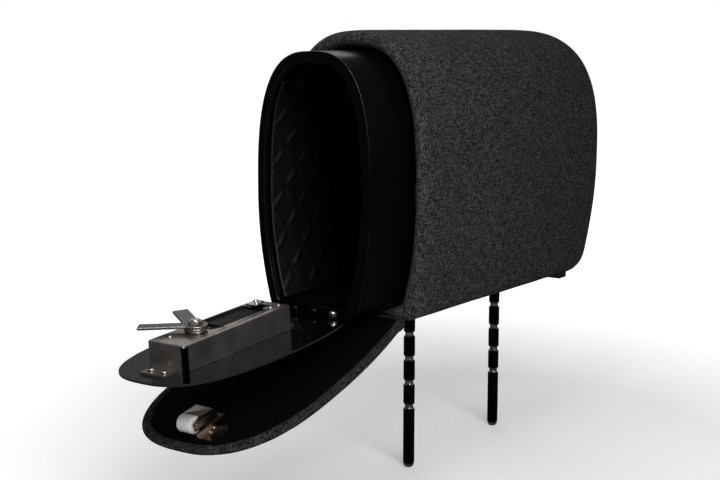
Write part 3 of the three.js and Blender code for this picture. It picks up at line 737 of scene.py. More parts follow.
class Finish(Nodes):
    """A new material with a Principled shader, laid on the piece's own coordinates."""

    def __init__(self, name):
        self.made = bpy.data.materials.new(name)
        self.made.use_nodes = True
        super().__init__(self.made.node_tree)
        self.tree.nodes.clear()
        out = self.add("OutputMaterial")
        self.shader = self.add("BsdfPrincipled")
        self.join(self.shader.outputs[0], out.inputs[0])
        self.where = self.add("TexCoord").outputs["Object"]

    def coat(self, bump, **values):
        """Fills in the shader. bump is the height, its strength and its distance."""
        height, strength, distance = bump
        bump = self.add("Bump", Strength=strength, Distance=distance, Height=height)
        self.fill(self.shader, {**values, "Normal": bump.outputs[0]})
        return self.made


def toned(tint, by):
    return (*(min(1.0, v * by) for v in tint[:3]), 1.0)


def woven_threads(n, vector, pitch, slub):
    """A plain weave of uneven threads: over and under, with pale and dark lengths of thread."""
    scaled = n.add("VectorMath", {"operation": "SCALE"}, Vector=vector,
                   Scale=n.math("DIVIDE", 1.0, pitch)).outputs[0]
    drift = n.add("TexNoise", Vector=scaled, Scale=0.21, Detail=2.0).outputs["Color"]
    pushed = n.row("VectorMath", (drift, (0.5, 0.5, 0.0), scaled), {"operation": "MULTIPLY_ADD"})
    u, v, _ = n.axes(pushed)
    rounds, streaks = [], []
    for across, along, seed in ((u, v, 3.7), (v, u, 11.3)):
        rounds.append(n.math("SINE", n.times(n.math("FRACT", across), math.pi)))
        lane = n.add("CombineXYZ", X=n.times(n.math("FLOOR", across), 7.31),
                     Y=n.math("DIVIDE", along, slub), Z=seed).outputs[0]
        streaks.append(n.speckle(lane, 1.0, 1.0, 0.6))
    over = n.add("TexChecker", Vector=pushed, Scale=1.0).outputs["Fac"]
    under = n.math("SUBTRACT", 1.0, over)
    lift = lambda up: n.spread(up, 0.0, 1.0, 0.35, 1.0)
    return {
        "Tone": n.plus(n.times(streaks[0], over), n.times(streaks[1], under)),
        "Height": n.most(n.times(rounds[0], lift(over)), n.times(rounds[1], lift(under))),
    }


def brushed_lines(n, vector):
    """Fine parallel scratches along the first axis, with soft cloudy patches between them."""
    x, y, z = n.axes(vector)
    squeezed = n.add("CombineXYZ", X=n.times(x, 0.012), Y=y, Z=z).outputs[0]
    return {
        "Lines": n.speckle(squeezed, 9000.0, 3.0, 0.6),
        "Clouds": n.speckle(vector, 55.0, 3.0, 0.55),
    }


def settled_dust(n, vector, scale, amount):
    """Sparse pale specks, as lint and dust leave on black surfaces."""
    cells = n.add("TexVoronoi", Vector=vector, Scale=scale).outputs
    dots = n.spread(cells["Distance"], 0.06, 0.16, 1.0, 0.0)
    kept = n.math("LESS_THAN", n.add("SeparateColor", Color=cells["Color"]).outputs[0], amount)
    patch = n.spread(n.speckle(vector, 35.0, 3.0), 0.42, 0.62)
    return {"Mask": n.times(n.times(dots, kept), patch)}


def dusted(n, base, dust, scale, amount, strength):
    """The base colour with settled dust on it."""
    mask = n.effect(settled_dust, ("Mask",), n.where, Scale=scale, Amount=amount)["Mask"]
    return n.mix(n.times(mask, strength), base, dust)


def weave(n, vector, pitch, slub):
    woven = n.effect(woven_threads, ("Tone", "Height"), vector, Pitch=pitch, Slub=slub)
    return woven["Tone"], woven["Height"]


def heather_cloth(n, shadow=1.0):
    """Charcoal furnishing cloth, woven of dark and pale uneven threads."""
    c = settings().colours
    dark, fleck = toned(c.thread, shadow), toned(c.fleck, shadow)
    cloth = n.add("UVMap", {"uv_map": "cloth"}).outputs[0]
    tone, height = weave(n, cloth, 0.0012, 3.2)
    tone = n.spread(tone, 0.40, 0.62)
    threads = [
        n.speckle(n.stretched(cloth, scale), 1.0, 2.0, 0.6)
        for scale in ((110.0, 900.0, 1.0), (900.0, 130.0, 1.0))
    ]
    slubs = n.most(*(n.spread(thread, 0.50, 0.64) for thread in threads))
    gaps = n.most(*(n.spread(thread, 0.44, 0.30) for thread in threads))
    patch = n.spread(n.speckle(n.where, 22.0, 3.0), 0.3, 0.7, 0.85, 1.12)
    # painted light: the cloth is made lighter towards the mouth and darker towards the closed end,
    # where less light falls
    patch = n.times(patch, n.spread(n.axes(n.where)[0], -0.16, 0.10, 1.40, 0.85))
    pale = n.plus(n.times(n.math("POWER", tone, 1.8), 0.46), n.times(slubs, 0.40))
    base = n.mix(n.times(pale, patch, clamp=True), dark, fleck)
    # painted shade: the weave's hollows and the thin places between threads are darkened
    hollow = n.most(n.spread(height, 0.75, 0.1, 0.0, 0.75), n.times(gaps, 0.7))
    return n.coat(
        (n.plus(height, n.times(slubs, 0.6)), 0.8, 0.0005),
        Base_Color=n.mix(hollow, base, toned(dark, 0.2)),
        Roughness=n.spread(tone, 0.0, 1.0, 0.95, 0.82), Specular_IOR_Level=0.05,
    )


def loop_cloth(n, base, pitch):
    """Black close-knit cloth with small raised loops."""
    cloth = n.stretched(n.add("UVMap", {"uv_map": "cloth"}).outputs[0], turned=(0.0, 0.0, 0.6))
    tone, height = weave(n, cloth, pitch, 1.2)
    tint = n.mix(n.spread(tone, 0.35, 0.65), toned(base, 0.45), toned(base, 1.9))
    return n.coat(
        (height, 0.8, 0.0006), Base_Color=dusted(n, tint, (0.4, 0.4, 0.4, 1.0), 520.0, 0.12, 0.05),
        Roughness=n.spread(tone, 0.0, 1.0, 0.98, 0.86), Specular_IOR_Level=0.04,
    )


def tread_foam(n):
    """Black-brown foam sheet with a fine skin grain, its colour darkened deeper into the safe as
    painted shade, and duller there.
    """
    base = settings().colours.lining
    grain = n.speckle(n.where, 1500.0, 3.0, 0.6)
    deep = n.axes(n.where)[0]
    tint = n.mix(n.cloud(45.0), toned(base, 0.7), toned(base, 1.5))
    return n.coat(
        (grain, 0.45, 0.0003),
        # painted shade: the colour darkens deeper into the safe, where less light reaches
        Base_Color=n.mix(n.spread(deep, -0.195, -0.12), tint, toned(base, 0.3)),
        Roughness=n.spread(grain, 0.3, 0.7, 0.42, 0.6),
        Specular_IOR_Level=n.spread(deep, -0.195, -0.12, 0.6, 0.12),
    )


def black_paint(n):
    """Baked black paint on sheet steel: a faint orange peel, dust, and uneven gloss."""
    base = tuple(settings().colours.paint)
    return n.coat(
        (n.speckle(n.where, 700.0), 0.05, 0.0002),
        Base_Color=dusted(n, base, (0.35, 0.34, 0.33, 1.0), 700.0, 0.18, 0.12),
        Roughness=n.spread(n.speckle(n.where, 28.0, 4.0, 0.6), 0.35, 0.65, 0.24, 0.36),
        Specular_IOR_Level=0.10,
    )


def mirror_black(n):
    """Deep gloss black of the open door, which mirrors what stands on it."""
    base = tuple(settings().colours.paint)
    return n.coat(
        (n.speckle(n.where, 300.0), 0.015, 0.0002),
        Base_Color=dusted(n, base, (0.35, 0.33, 0.31, 1.0), 600.0, 0.25, 0.10),
        Roughness=n.spread(n.speckle(n.where, 18.0, 3.0, 0.6), 0.35, 0.65, 0.05, 0.11),
        IOR=1.9, Coat_Weight=1.0, Coat_Roughness=0.03, Coat_IOR=1.7,
    )


def plated(n, tint, low, high, lines=0.0, tilt=0.0, smudge=0.18):
    """Plated or brushed metal: scratches along the piece and cloudy tarnish."""
    along = n.stretched(n.where, turned=(0.0, -tilt, 0.0))
    brush = n.effect(brushed_lines, ("Lines", "Clouds"), along)
    scratch, cloud = brush["Lines"], brush["Clouds"]
    dark, light = toned(tint, 1.0 - smudge), toned(tint, 1.0 + smudge * 0.6)
    rough = n.plus(
        n.spread(cloud, 0.3, 0.7, low, high),
        n.spread(scratch, 0.3, 0.7, -0.05 * lines, 0.08 * lines), clamp=True,
    )
    return n.coat(
        (scratch, 0.06 + 0.22 * lines, 0.00006), Metallic=1.0, Roughness=rough,
        Base_Color=n.mix(n.spread(scratch, 0.3, 0.7, 0.0, 0.35 + lines * 0.3),
                         n.mix(n.spread(cloud, 0.32, 0.68), dark, light), dark),
    )


def post_chrome(n):
    """Black chrome on the posts, with a pale metal colour in the notches."""
    h = settings().headrest
    x, y, z = n.axes(n.where)
    centred = n.math("SUBTRACT", n.math("ABSOLUTE", x), h.post_spacing / 2)
    reach = n.math("SQRT", n.plus(n.times(centred, centred), n.times(y, y)))
    notched = n.spread(reach, h.post_radius - 0.0004, h.post_radius - 0.00018, 1.0, 0.0)
    bright = n.times(notched, n.math("LESS_THAN", z, -0.004))
    cloud = n.spread(n.speckle(n.where, 60.0, 3.0), 0.3, 0.7)
    dark = n.mix(cloud, (0.012, 0.013, 0.013, 1.0), (0.022, 0.023, 0.023, 1.0))
    scratch = n.speckle(n.stretched(n.where, (900.0, 900.0, 14.0)), 1.0, 3.0)
    return n.coat(
        (scratch, 0.02, 0.0001), Base_Color=n.mix(bright, dark, (0.62, 0.64, 0.64, 1.0)),
        Metallic=1.0, Roughness=n.spread(scratch, 0.3, 0.75, 0.05, 0.16),
    )


def moulded(n, tint, low=0.42, high=0.6, grain=0.25, specular=0.4):
    """Moulded plastic with a fine matt grain."""
    cloud = n.speckle(n.where, 40.0, 3.0)
    return n.coat(
        (n.speckle(n.where, 1800.0), grain, 0.00015),
        Base_Color=n.mix(n.spread(cloud, 0.35, 0.65), toned(tint, 0.8), tuple(tint)),
        Roughness=n.spread(cloud, 0.35, 0.65, low, high), Specular_IOR_Level=specular,
    )


def fibre_board(n):
    fibres = n.speckle(n.stretched(n.where, (500.0, 900.0, 500.0)), 1.0, 4.0, 0.7)
    tint = n.mix(n.spread(fibres, 0.3, 0.7), (0.05, 0.035, 0.022, 1.0), (0.12, 0.085, 0.055, 1.0))
    return n.coat((fibres, 0.4, 0.0003), Base_Color=tint, Roughness=0.9)


def finish(name):
    """The named finish, made the first time that it is asked for."""
    if name in bpy.data.materials:
        return bpy.data.materials[name]
    c, door, flap = settings().colours, settings().door.tilt, settings().flap.tilt
    make, *values = {
        "Heather Cloth": (heather_cloth,),
        # painted shade: the body's cloth, darkened for the flap and fold strip, which get less
        # light
        "Flap Heather": (heather_cloth, 0.62),
        "Flap Cloth": (loop_cloth, c.flap_cloth, 0.0016),
        "Mat Cloth": (loop_cloth, (0.0012, 0.0012, 0.0012), 0.0012),
        "Tread Lining": (tread_foam,),
        "Satin Black Paint": (black_paint,),
        "Polished Black Door": (mirror_black,),
        # painted highlight: a paler metal paint for the rounded edges of the frame and door,
        # standing for light caught along them
        "Rubbed Paint": (plated, (0.10, 0.10, 0.10), 0.22, 0.34, 0.2),
        "Blackened Steel": (plated, (0.016, 0.0155, 0.015), 0.22, 0.36, 0.5, door),
        "Brushed Case": (plated, c.case, 0.30, 0.42, 1.0, door),
        "Lock Steel": (plated, c.lock, 0.38, 0.50, 0.6, door),
        "Bright Nickel": (plated, (0.74, 0.70, 0.67), 0.16, 0.28, 0.2, door),
        "Catch Nickel": (plated, (0.43, 0.36, 0.30), 0.2, 0.34, 0.5, flap),
        "Warm Plating": (plated, c.brass, 0.2, 0.34, 0.3, flap, 0.3),
        "Plain Steel": (plated, (0.42, 0.41, 0.40), 0.28, 0.42, 0.5),
        "Black Chrome": (post_chrome,),
        "Black Plastic": (moulded, c.plastic),
        "Code Plastic": (moulded, (0.005, 0.0048, 0.0042, 1.0), 0.32, 0.5, 0.1, 0.25),
        "Nylon": (moulded, c.nylon, 0.34, 0.46, 0.08, 0.5),
        "Board": (fibre_board,),
    }[name]
    return make(Finish(name), *values)


# Operators, one for each piece or group of like pieces


class HEADREST_OT_stage(bpy.types.Operator):
    """Lay a pale floor, soft studio light and the camera"""

    bl_idname = "headrest.stage"
    bl_label = "Stage"

    def execute(self, context):
        scene, white = context.scene, (1.0, 1.0, 1.0, 1.0)
        floor = -settings().headrest.post_length - FLOOR_GAP
        clear()
        bpy.ops.mesh.primitive_plane_add(size=14, location=(0, 0, floor))
        ground = named("studio_floor")
        n = Finish("Pale Floor")
        n.tree.nodes.remove(n.shader)
        path = n.add("LightPath").outputs
        lit = n.spread(path["Is Glossy Ray"], 0.0, 1.0, 0.9, 0.10)
        grey = n.add("CombineColor", Red=lit, Green=lit, Blue=lit).outputs[0]
        paper = n.add("BsdfDiffuse", Color=grey)
        reach = n.add("VectorMath", {"operation": "LENGTH"}, Vector=n.where).outputs["Value"]
        glow = n.times(path["Is Camera Ray"], n.spread(reach, 0.30, 0.85, 0.24, 1.0))
        lamp = n.add("Emission", Color=white, Strength=glow)
        both = n.row("AddShader", (paper.outputs[0], lamp.outputs[0]))
        n.join(both, n.tree.nodes["Material Output"].inputs[0])
        ground.data.materials.append(n.made)

        scene.world = bpy.data.worlds.new("Studio")
        scene.world.use_nodes = True
        n = Nodes(scene.world.node_tree)
        n.tree.nodes.clear()
        path = n.add("LightPath").outputs
        seen = n.most(path["Is Camera Ray"], path["Is Transmission Ray"])
        dim = n.spread(path["Is Glossy Ray"], 0.0, 1.0, 0.13, 0.09)
        skies = [
            n.add("Background", Color=white, Strength=power).outputs[0] for power in (dim, 1.0)
        ]
        n.join(n.row("MixShader", (seen, *skies)), n.add("OutputWorld").inputs[0])

        aim = Vector((-0.08, 0.0, 0.06))
        for name, where, size, power in (
            ("overhead_softbox", (-0.25, 0.10, 1.25), 0.9, 3.7),
            ("side_softbox", (-0.85, -0.95, 0.80), 0.7, 11.0),
            ("mouth_softbox", (-1.15, -0.35, 0.95), 0.4, 4.0),
            ("rear_softbox", (0.62, 0.62, 0.80), 0.6, 1.5),
        ):
            light = bpy.data.lights.new(name, "AREA")
            light.shape, light.size, light.energy = "SQUARE", size, power
            lamp = bpy.data.objects.new(name, light)
            lamp.location = where
            lamp.rotation_euler = (aim - Vector(where)).to_track_quat("-Z", "Y").to_euler()
            context.collection.objects.link(lamp)

        lens = bpy.data.cameras.new("camera")
        lens.sensor_width, lens.lens = 36.0, 64.3
        camera = bpy.data.objects.new("camera", lens)
        camera.location = (-0.9884, -0.5954, 0.2237)
        camera.rotation_euler = (math.radians(80.72), 0.0, math.radians(-54.66))
        context.collection.objects.link(camera)
        scene.camera = camera
        scene.view_settings.view_transform = "Standard"
        return {"FINISHED"}


def end_on(p):
    return p.y, p.z


def from_above(p):
    return p.x, p.y


def from_level(level, *points):
    """A profile from its radii and its heights above a level, both in millimetres."""
    return [(radius / 1000, level + height / 1000) for radius, height in points]


def both_ends(profile):
    return profile + [(r, -z) for r, z in reversed(profile)]


def arch_slab(name, shape, low, high, count=FINE_ARCH):
    """An arch-shaped solid between two places along the body."""
    return pulled(blank(name, arch_line(shape, count), on_x(low)), (high - low, 0, 0))


class HEADREST_OT_cover(bpy.types.Operator):
    """Sew the padded body: woven cover over foam, rolled round the mouth and tucked in"""

    bl_idname = "headrest.cover"
    bl_label = "Padded body"

    def execute(self, context):
        h = settings().headrest
        count = 168
        start = -h.mouth + h.rim
        reach = h.far - start
        plain, mouth = {**body_arch(), "power": 2.56, "corner": 0.009}, mouth_arch()
        closed_end = {**body_arch(), "half": h.far_half, "foot": h.far_foot, "bottom": -h.far_drop}
        limited = lambda share: min(1.0, max(0.0, share))

        def draw_in(radius, distance, power=2.0):
            left = max(0.0, 1 - distance / radius)
            return radius * (1 - (1 - left**power) ** (1 / power))

        def rounded(distance):
            """The outline at a distance from the closed end, whose edge is rounded."""
            share = (reach - distance) / reach
            shape = grown(
                between(plain, closed_end, share), -draw_in(0.028, distance),
                -draw_in(0.058, distance, 2.75), -draw_in(0.045, distance),
            )
            shape["wide"] = min(plain["wide"], (shape["top"] + shape["bottom"]) / 2)
            shape["corner"] = 0.010 - 0.002 * share
            return shape

        def hang(ring, share=1.0):
            """The lower corners hang a little below the middle, which the posts hold up."""
            made = []
            for x, y, z in ring:
                low = limited(1.0 - z / 0.030) ** 2
                out = limited((abs(y) - 0.022) / 0.026)
                deep = 0.0036 - 0.0014 * limited((x + h.mouth) / (h.far + h.mouth))
                made.append((x, y, z - share * deep * low * out * out * (3 - 2 * out)))
            return made

        flat = rounded(0.0)
        middle = (flat["top"] + flat["bottom"]) / 2
        outline = hang(arch_ring(flat, count, h.far))
        rings = []
        for share in (0.12, 0.25, 0.38, 0.5, 0.61, 0.71, 0.8, 0.88, 0.95):
            x = h.far + h.crown * (1 - share**2) ** 1.5
            rings.append([(x, y * share, middle + (z - middle) * share) for _, y, z in outline])
        even = 0.060  # from here on the rings have equal steps
        steps = [0, 0.0008, 0.002, 0.0036, 0.0056, 0.008, 0.011, 0.0145, 0.0185, 0.023, 0.028,
                 0.0335, 0.0395, 0.046, 0.053]
        steps += [even + (reach - even) * i / 40 for i in range(40)]
        for distance in steps:
            rings.append(hang(arch_ring(rounded(distance), count, h.far - distance)))
        for i in range(15):
            angle = math.pi * i / 14
            shape = between(plain, mouth, (1 - math.cos(angle)) / 2)
            x = -h.mouth + h.rim * (1 - math.sin(angle))
            rings.append(hang(arch_ring(shape, count, x), ((1 + math.cos(angle)) / 2) ** 0.7))
        rings += [arch_ring(mouth, count, start + by) for by in (0.0035, 0.007, h.tuck - h.rim)]
        pocket = grown(mouth, 0.0042, 0.0042, 0.0022)
        rings += [arch_ring(pocket, count, x) for x in (-0.141, -0.10, 0.0, 0.1302)]

        def held(p):
            return -h.mouth + 0.004 < p.x < 0.131 and abs(p.y) < 0.0625 and 0.0035 < p.z < 0.2145

        def away(p):
            if held(p):
                return 0.0
            ripple = noise.noise(p * 14.0) + noise.noise(p * 45.0) * 0.4
            edge = max(0.0, 1.0 - abs(p.x + h.mouth - 0.004) / 0.016)
            around = math.atan2(p.y, p.z - 0.1) * 0.1
            gather = noise.noise(Vector((around * 130.0, p.x * 30.0, 4.0)))
            return ripple * h.ripple + edge * h.pucker * gather

        flat_end = lambda centre, normal: end_on if normal.x > 0.72 and centre.x > 0.1 else None
        girth = run_of(arch_line(plain, count))[-1]
        cover = roughened(soft("headrest_cover", rings, True, True, girth, flat_end), away)
        fill_out(cover, held, 1.5, 0.0004, 12)
        smoothed(cover)
        cut(cover, *(
            bore(h.post_radius + 0.0003, -0.02, 0.0048, side * h.post_spacing / 2, 40)
            for side in (-1, 1)
        ))
        fit(cover, "headrest", "Heather Cloth", "weave", "fabric_cover", "foam_pad")
        return {"FINISHED"}


class HEADREST_OT_fold(bpy.types.Operator):
    """Sew the strip of cloth that joins the flap to the body"""

    bl_idname = "headrest.fold"
    bl_label = "Flap fold"

    def execute(self, context):
        line = [
            (-0.1530, -0.0006), (-0.1570, -0.0007), (-0.1595, -0.0009), (-0.1610, -0.0014),
            (-0.1618, -0.0024), (-0.1620, -0.0038), (-0.1622, -0.0054), (-0.1631, -0.0070),
            (-0.1650, -0.0083), (-0.1690, -0.0096),
        ]
        half, steps = 0.0525, 56
        spans = [0.0]
        for a, b in zip(line, line[1:]):
            spans.append(spans[-1] + (Vector(b) - Vector(a)).length)
        across = [-half + 2 * half * i / steps for i in range(steps + 1)]
        wave = lambda y, run: 0.0002 * noise.noise(Vector((y * 110.0, run * 60.0, 2.0)))
        rings = [[(x, y, z + wave(y, run)) for y in across] for (x, z), run in zip(line, spans)]
        strip = smoothed(soft("fold_cloth", rings, girth=2 * half, closed=False))
        fit(thickened(strip, 0.0009, 0.0), None, "Flap Heather", "weave", "fold_piping")
        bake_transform(strip)
        return {"FINISHED"}


class HEADREST_OT_mouth_fittings(bpy.types.Operator):
    """Make the plastic ring inside the mouth and the tab under the closed end"""

    bl_idname = "headrest.mouth_fittings"
    bl_label = "Mouth ring and end tab"

    def execute(self, context):
        h = settings().headrest
        inner, outer = mouth_arch(), grown(mouth_arch(), 0.004, 0.004, 0.002)
        low = h.tuck - h.mouth + 0.0002
        ring = arch_slab("mouth_trim_ring", outer, low, low + 0.0034, 200)
        cut(ring, arch_slab("bore", inner, low - 0.01, low + 0.02, 200))
        fit(soften(ring, 0.0006), "headrest", "Black Plastic", "black_plastic", "mouth_ring")

        x0, y0 = h.far + h.crown - 0.071, -0.053
        outline = [(0, -7), (13, -7), (16.2, -5.6), (18, -3), (18, 3), (16.2, 5.6), (13, 7), (0, 7)]
        outline = [(x0 + x / 1000, y0 + y / 1000) for x, y in outline]
        tab = pulled(blank("end_tab", outline, on_z(-h.far_drop - 0.005)), (0, 0, 0.005))
        with editing(tab):
            pick(tab, "FACE", lambda face: face.normal.z < -0.9)
            bpy.ops.mesh.inset(thickness=0.0022, depth=0.0)
            bpy.ops.mesh.inset(thickness=0.0006, depth=-0.0007)
        fit(soften(tab, 0.0007, 3), "headrest", "Black Plastic", "black_plastic", "far_end_tab")
        return {"FINISHED"}


class HEADREST_OT_posts(bpy.types.Operator):
    """Turn the two posts, notched for a seat's catch"""

    bl_idname = "headrest.posts"
    bl_label = "Posts"

    def execute(self, context):
        h = settings().headrest
        radius, bottom, top, tip = h.post_radius, -h.post_length, 0.0034, 0.0022
        profile = [(0.0, bottom)]
        for sine, cosine in rounding(8):
            profile.append((tip + (radius - tip) * sine, bottom + 0.006 * (1 - cosine)))
        notch = [(0.0, 0.0029), (0.0001, 0.0025), (0.00115, 0.0014), (0.0013, 0.0011)]
        for i in range(4):
            level = bottom + 0.0555 + i * 0.0216
            profile += [(radius - deep, level - by) for deep, by in notch]
            profile += [(radius - deep, level + by) for deep, by in reversed(notch)]
        profile += [(radius, top), (0.0032, top), (0.0032, top - 0.017), (0.0, top - 0.017)]
        first = shade(spun("post_near_mouth", profile, 48), 25)
        second = copy_of(first, "post_near_end")
        for post, side, piece in ((first, -1, "post_mouth_side"), (second, 1, "post_far_side")):
            where = shifted(side * h.post_spacing / 2, 0, 0)
            fit(post, "headrest", "Black Chrome", "black_chrome", piece, at=where)
        return {"FINISHED"}


class HEADREST_OT_shell(bpy.types.Operator):
    """Roll the steel shell of the safe and fold its front frame in"""

    bl_idname = "headrest.shell"
    bl_label = "Safe shell"

    def execute(self, context):
        s = settings().safe
        outer, front = shell_arch(), -s.front
        start = front + 0.0019
        shell = blank("safe_shell", arch_line(outer, FINE_ARCH), on_x(start), fill="NOTHING")
        joined(pulled(shell, (s.back - s.wall - start, 0, 0), 12))
        cut(thickened(shell, s.wall), block(
            "gap", front - 0.001, front + 0.0055, -s.foot + 0.003, s.foot - 0.003,
            s.bottom - 0.001, s.bottom + s.wall + 0.001,
        ))
        soften(shell, 0.0003, 2, 40)
        fit(shell, "safe", "Satin Black Paint", "black_steel", "shell_wrap")

        rim = arch_slab("opening_frame", outer, front, front + 0.0018)
        opening, ledge = grown(outer, -s.frame_width), grown(outer, 0.0022 - s.frame_width)
        cut(
            rim,
            arch_slab("hole", opening, front - 0.002, front + 0.004),
            arch_slab("ledge", ledge, front - 0.002, front + 0.0004),
            block("foot", front - 0.001, front + 0.005, -0.033, 0.033, 0.0, s.bottom + 0.016),
        )
        # the rounded edges take a paler paint as a painted highlight
        soften(rim, 0.0004, 3, 50, "Rubbed Paint")
        fit(rim, "safe", "Satin Black Paint", "black_steel", "front_frame")
        return {"FINISHED"}


def stroke_relief(a, b):
    """Height of a tread of short strokes that lean left and right by turns."""
    s = settings().safe
    a, b = a / s.lozenge, b / s.lozenge
    i, j = math.floor(a), math.floor(b)
    p, q = a - i - 0.5, b - j - 0.5
    along, across = (p + q, p - q) if (i + j) % 2 else (p - q, p + q)
    along, across = along / math.sqrt(2) / 0.62, across / math.sqrt(2) / 0.13
    return s.relief * max(0.0, 1.0 - across**2 - along**2) ** 0.7


class HEADREST_OT_lining(bpy.types.Operator):
    """Lay the tread lining on the safe's walls and end, and the mat on its floor"""

    bl_idname = "headrest.lining"
    bl_label = "Safe lining"

    def execute(self, context):
        s = settings().safe
        wall = grown(shell_arch(), -s.wall)
        low, high = -s.front + 0.012, s.back - s.wall - 0.0002
        face = grown(wall, -0.0024)
        knee = wall["bottom"] + 0.006
        path = mirrored([
            p for p in resampled(half_line(face), 150) if p[0] > s.foot - 0.004 or p[1] > knee
        ])
        run, outward = run_of(path), []
        for before, after in zip(path[:1] + path[:-1], path[1:] + path[-1:]):
            along_y, along_z = after[0] - before[0], after[1] - before[1]
            size = math.hypot(along_y, along_z)
            outward.append((-along_z / size, along_y / size))
        rings, steps = [], 126
        for k in range(steps + 1):
            x, ring = low + (high - low) * k / steps, []
            for (y, z), (out_y, out_z), way in zip(path, outward, run):
                rise = stroke_relief(x - low, abs(way - run[-1] / 2))
                ring.append((x, y + out_y * rise, z + out_z * rise))
            rings.append(ring)
        girth = run[-1] * len(path) / (len(path) - 1)
        walls = soft("wall_lining", rings, girth=girth, closed=False)
        made, bare = bmesh.new(), []
        made.from_mesh(walls.data)
        for item in made.faces:
            x, y, z = item.calc_center_median()
            if x < -s.front + 0.031 and abs(y) < 0.037 and z > s.wide:
                bare.append(item)
        area = run[-1] * (high - low) - sum(item.calc_area() for item in bare)
        bmesh.ops.delete(made, geom=bare, context="FACES")
        made.to_mesh(walls.data)
        made.free()
        # The seen face looks into the safe, so that the thickness grows towards the steel.
        facing(walls, lambda face: -face.normal.y * face.center.y)
        fit(thickened(walls, 0.0021), "safe", "Tread Lining", "quilt", "side_lining")

        end_face = grown(face, -0.0012)
        outline = arch_line(end_face, 220)
        middle = (end_face["top"] + end_face["bottom"]) / 2
        rings, first, steps = [], 4, 60
        for k in range(first, steps + 1):
            share, ring = k / steps, []
            fade = min(1.0, (1 - share) * 12, (share - first / steps) * 20)
            for y, z in outline:
                y, z = y * share, middle + (z - middle) * share
                ring.append((high - 0.0030 - stroke_relief(y + 1.0, z) * fade, y, z))
            rings.append(ring)
        base = soft("end_lining_sheet", rings, start=True, flat=lambda centre, normal: end_on)
        facing(base, lambda face: -face.normal.x)
        area = sum(abs(face.normal.x) * face.area for face in base.data.polygons)
        fit(thickened(base, 0.0027), "safe", "Tread Lining", "quilt", "end_lining")

        half, level = s.foot - 0.0042, wall["bottom"] + 0.0022
        x0, x1 = -s.front + 0.026, high - 0.0034
        wave = lambda x, i: 0.00025 * noise.noise(Vector((x * 30, i * 0.6, 1.0)))
        rows = [
            [(x, -half + 2 * half * i / 24, level + wave(x, i)) for i in range(25)]
            for x in (x0 + (x1 - x0) * k / 60 for k in range(61))
        ]
        mat = soft("floor_mat_sheet", rows, girth=2 * half * 25 / 24, closed=False)
        facing(mat, lambda face: face.normal.z)
        soften(thickened(mat, 0.0018), 0.0004)
        fit(mat, "safe", "Mat Cloth", "black_cloth", "floor_mat")
        return {"FINISHED"}


class HEADREST_OT_door(bpy.types.Operator):
    """Cut the door, its hinge leaves, pin and screws"""

    bl_idname = "headrest.door"
    bl_label = "Door and hinge"

    def execute(self, context):
        s, d, place_of_door = settings().safe, settings().door, door_place()
        hinge_x, hinge_z = hinge_axis()
        shape = {**grown(shell_arch(), -0.004, -0.0062), "bottom": hinge_z - LEAF_DROP + 0.0005}
        outline = [(z - hinge_z, y) for y, z in arch_line(shape, 220)]
        door = pulled(blank("door_panel", outline, on_z(-DOOR_SHEET)), (0, 0, DOOR_SHEET))
        rooms = [
            block("room", -0.005, s.wall + 0.0009, y0, y1, -0.005, 0.005)
            for y0, y1 in ((-0.09, -0.031), (0.031, 0.09))
        ]
        holes = [bore(BUTTON_HOLE, -0.009, 0.005, x) for x in button_places()]
        cut(door, *rooms, *holes, bore(SPINDLE_HOLE, -0.009, 0.005, d.pivot))
        # the rounded edges take a paler paint as a painted highlight
        soften(door, 0.0003, 3, 50, "Rubbed Paint")
        fit(door, "door", "Polished Black Door", "black_steel", "door_plate", at=place_of_door)

        axis, play, leaf_length = shifted(hinge_x, 0, hinge_z), 0.00015, 0.021
        ends = [((i - 2.5) * KNUCKLE, (i - 1.5) * KNUCKLE) for i in range(5)]
        for name, body, piece, own, where in (
            ("hinge_leaf_on_safe", "safe", "door_hinge_leaf_fixed", (1, 3), axis),
            ("hinge_leaf_on_door", "door", "door_hinge_leaf_moving", (0, 2, 4),
             place_of_door @ shifted(0, 0, LEAF_DROP)),
        ):
            leaf = block(name, 0.0, leaf_length, ends[0][0], ends[-1][1], -0.0021, -0.0009)
            with editing(leaf):
                pick(leaf, "EDGE", lambda edge: upright(edge) and edge.verts[0].co.x > 0.02)
                bpy.ops.mesh.bevel(offset=0.003, segments=5)
            cut(leaf, *(
                rod("room", 0.0026, (0, y0 - play, 0), (0, y1 + play, 0))
                for i, (y0, y1) in enumerate(ends) if i not in own
            ))
            weld(leaf, *(
                rod("knuckle", 0.0021, (0, y0 + play, 0), (0, y1 - play, 0))
                for i, (y0, y1) in enumerate(ends) if i in own
            ))
            cut(leaf, rod("bore", 0.00125, (0, -0.06, 0), (0, 0.06, 0), 24))
            soften(leaf, play, 2, 40)
            fit(leaf, body, "Blackened Steel", "bare_steel", piece, at=where)
        half_pin = [(0, -0.030), (0.0008, -0.030), (0.0011, -0.0296)]
        pin = shade(spun("hinge_pin", both_ends(half_pin), 24))
        fit(pin, "safe", "Blackened Steel", "nickel", "door_hinge_pin",
            at=axis @ turned(math.pi / 2, "X"))
        # painted highlight: one screw takes Bright Nickel where the light catches it, the others
        # Blackened Steel
        screws(
            "door_screw", "door_leaf_screw", 0.0032, 0.0042, "door",
            ["Blackened Steel"] * 3 + ["Bright Nickel"], place_of_door,
            [(leaf_length * 0.58, y, 0.0016) for y in (-0.027, -0.009, 0.009, 0.027)], (0.5, 0.7),
        )
        return {"FINISHED"}


def button_places():
    d = settings().door
    first = d.pivot - 0.020 - (d.buttons - 1) * d.button_pitch
    return [first + i * d.button_pitch for i in range(d.buttons)]


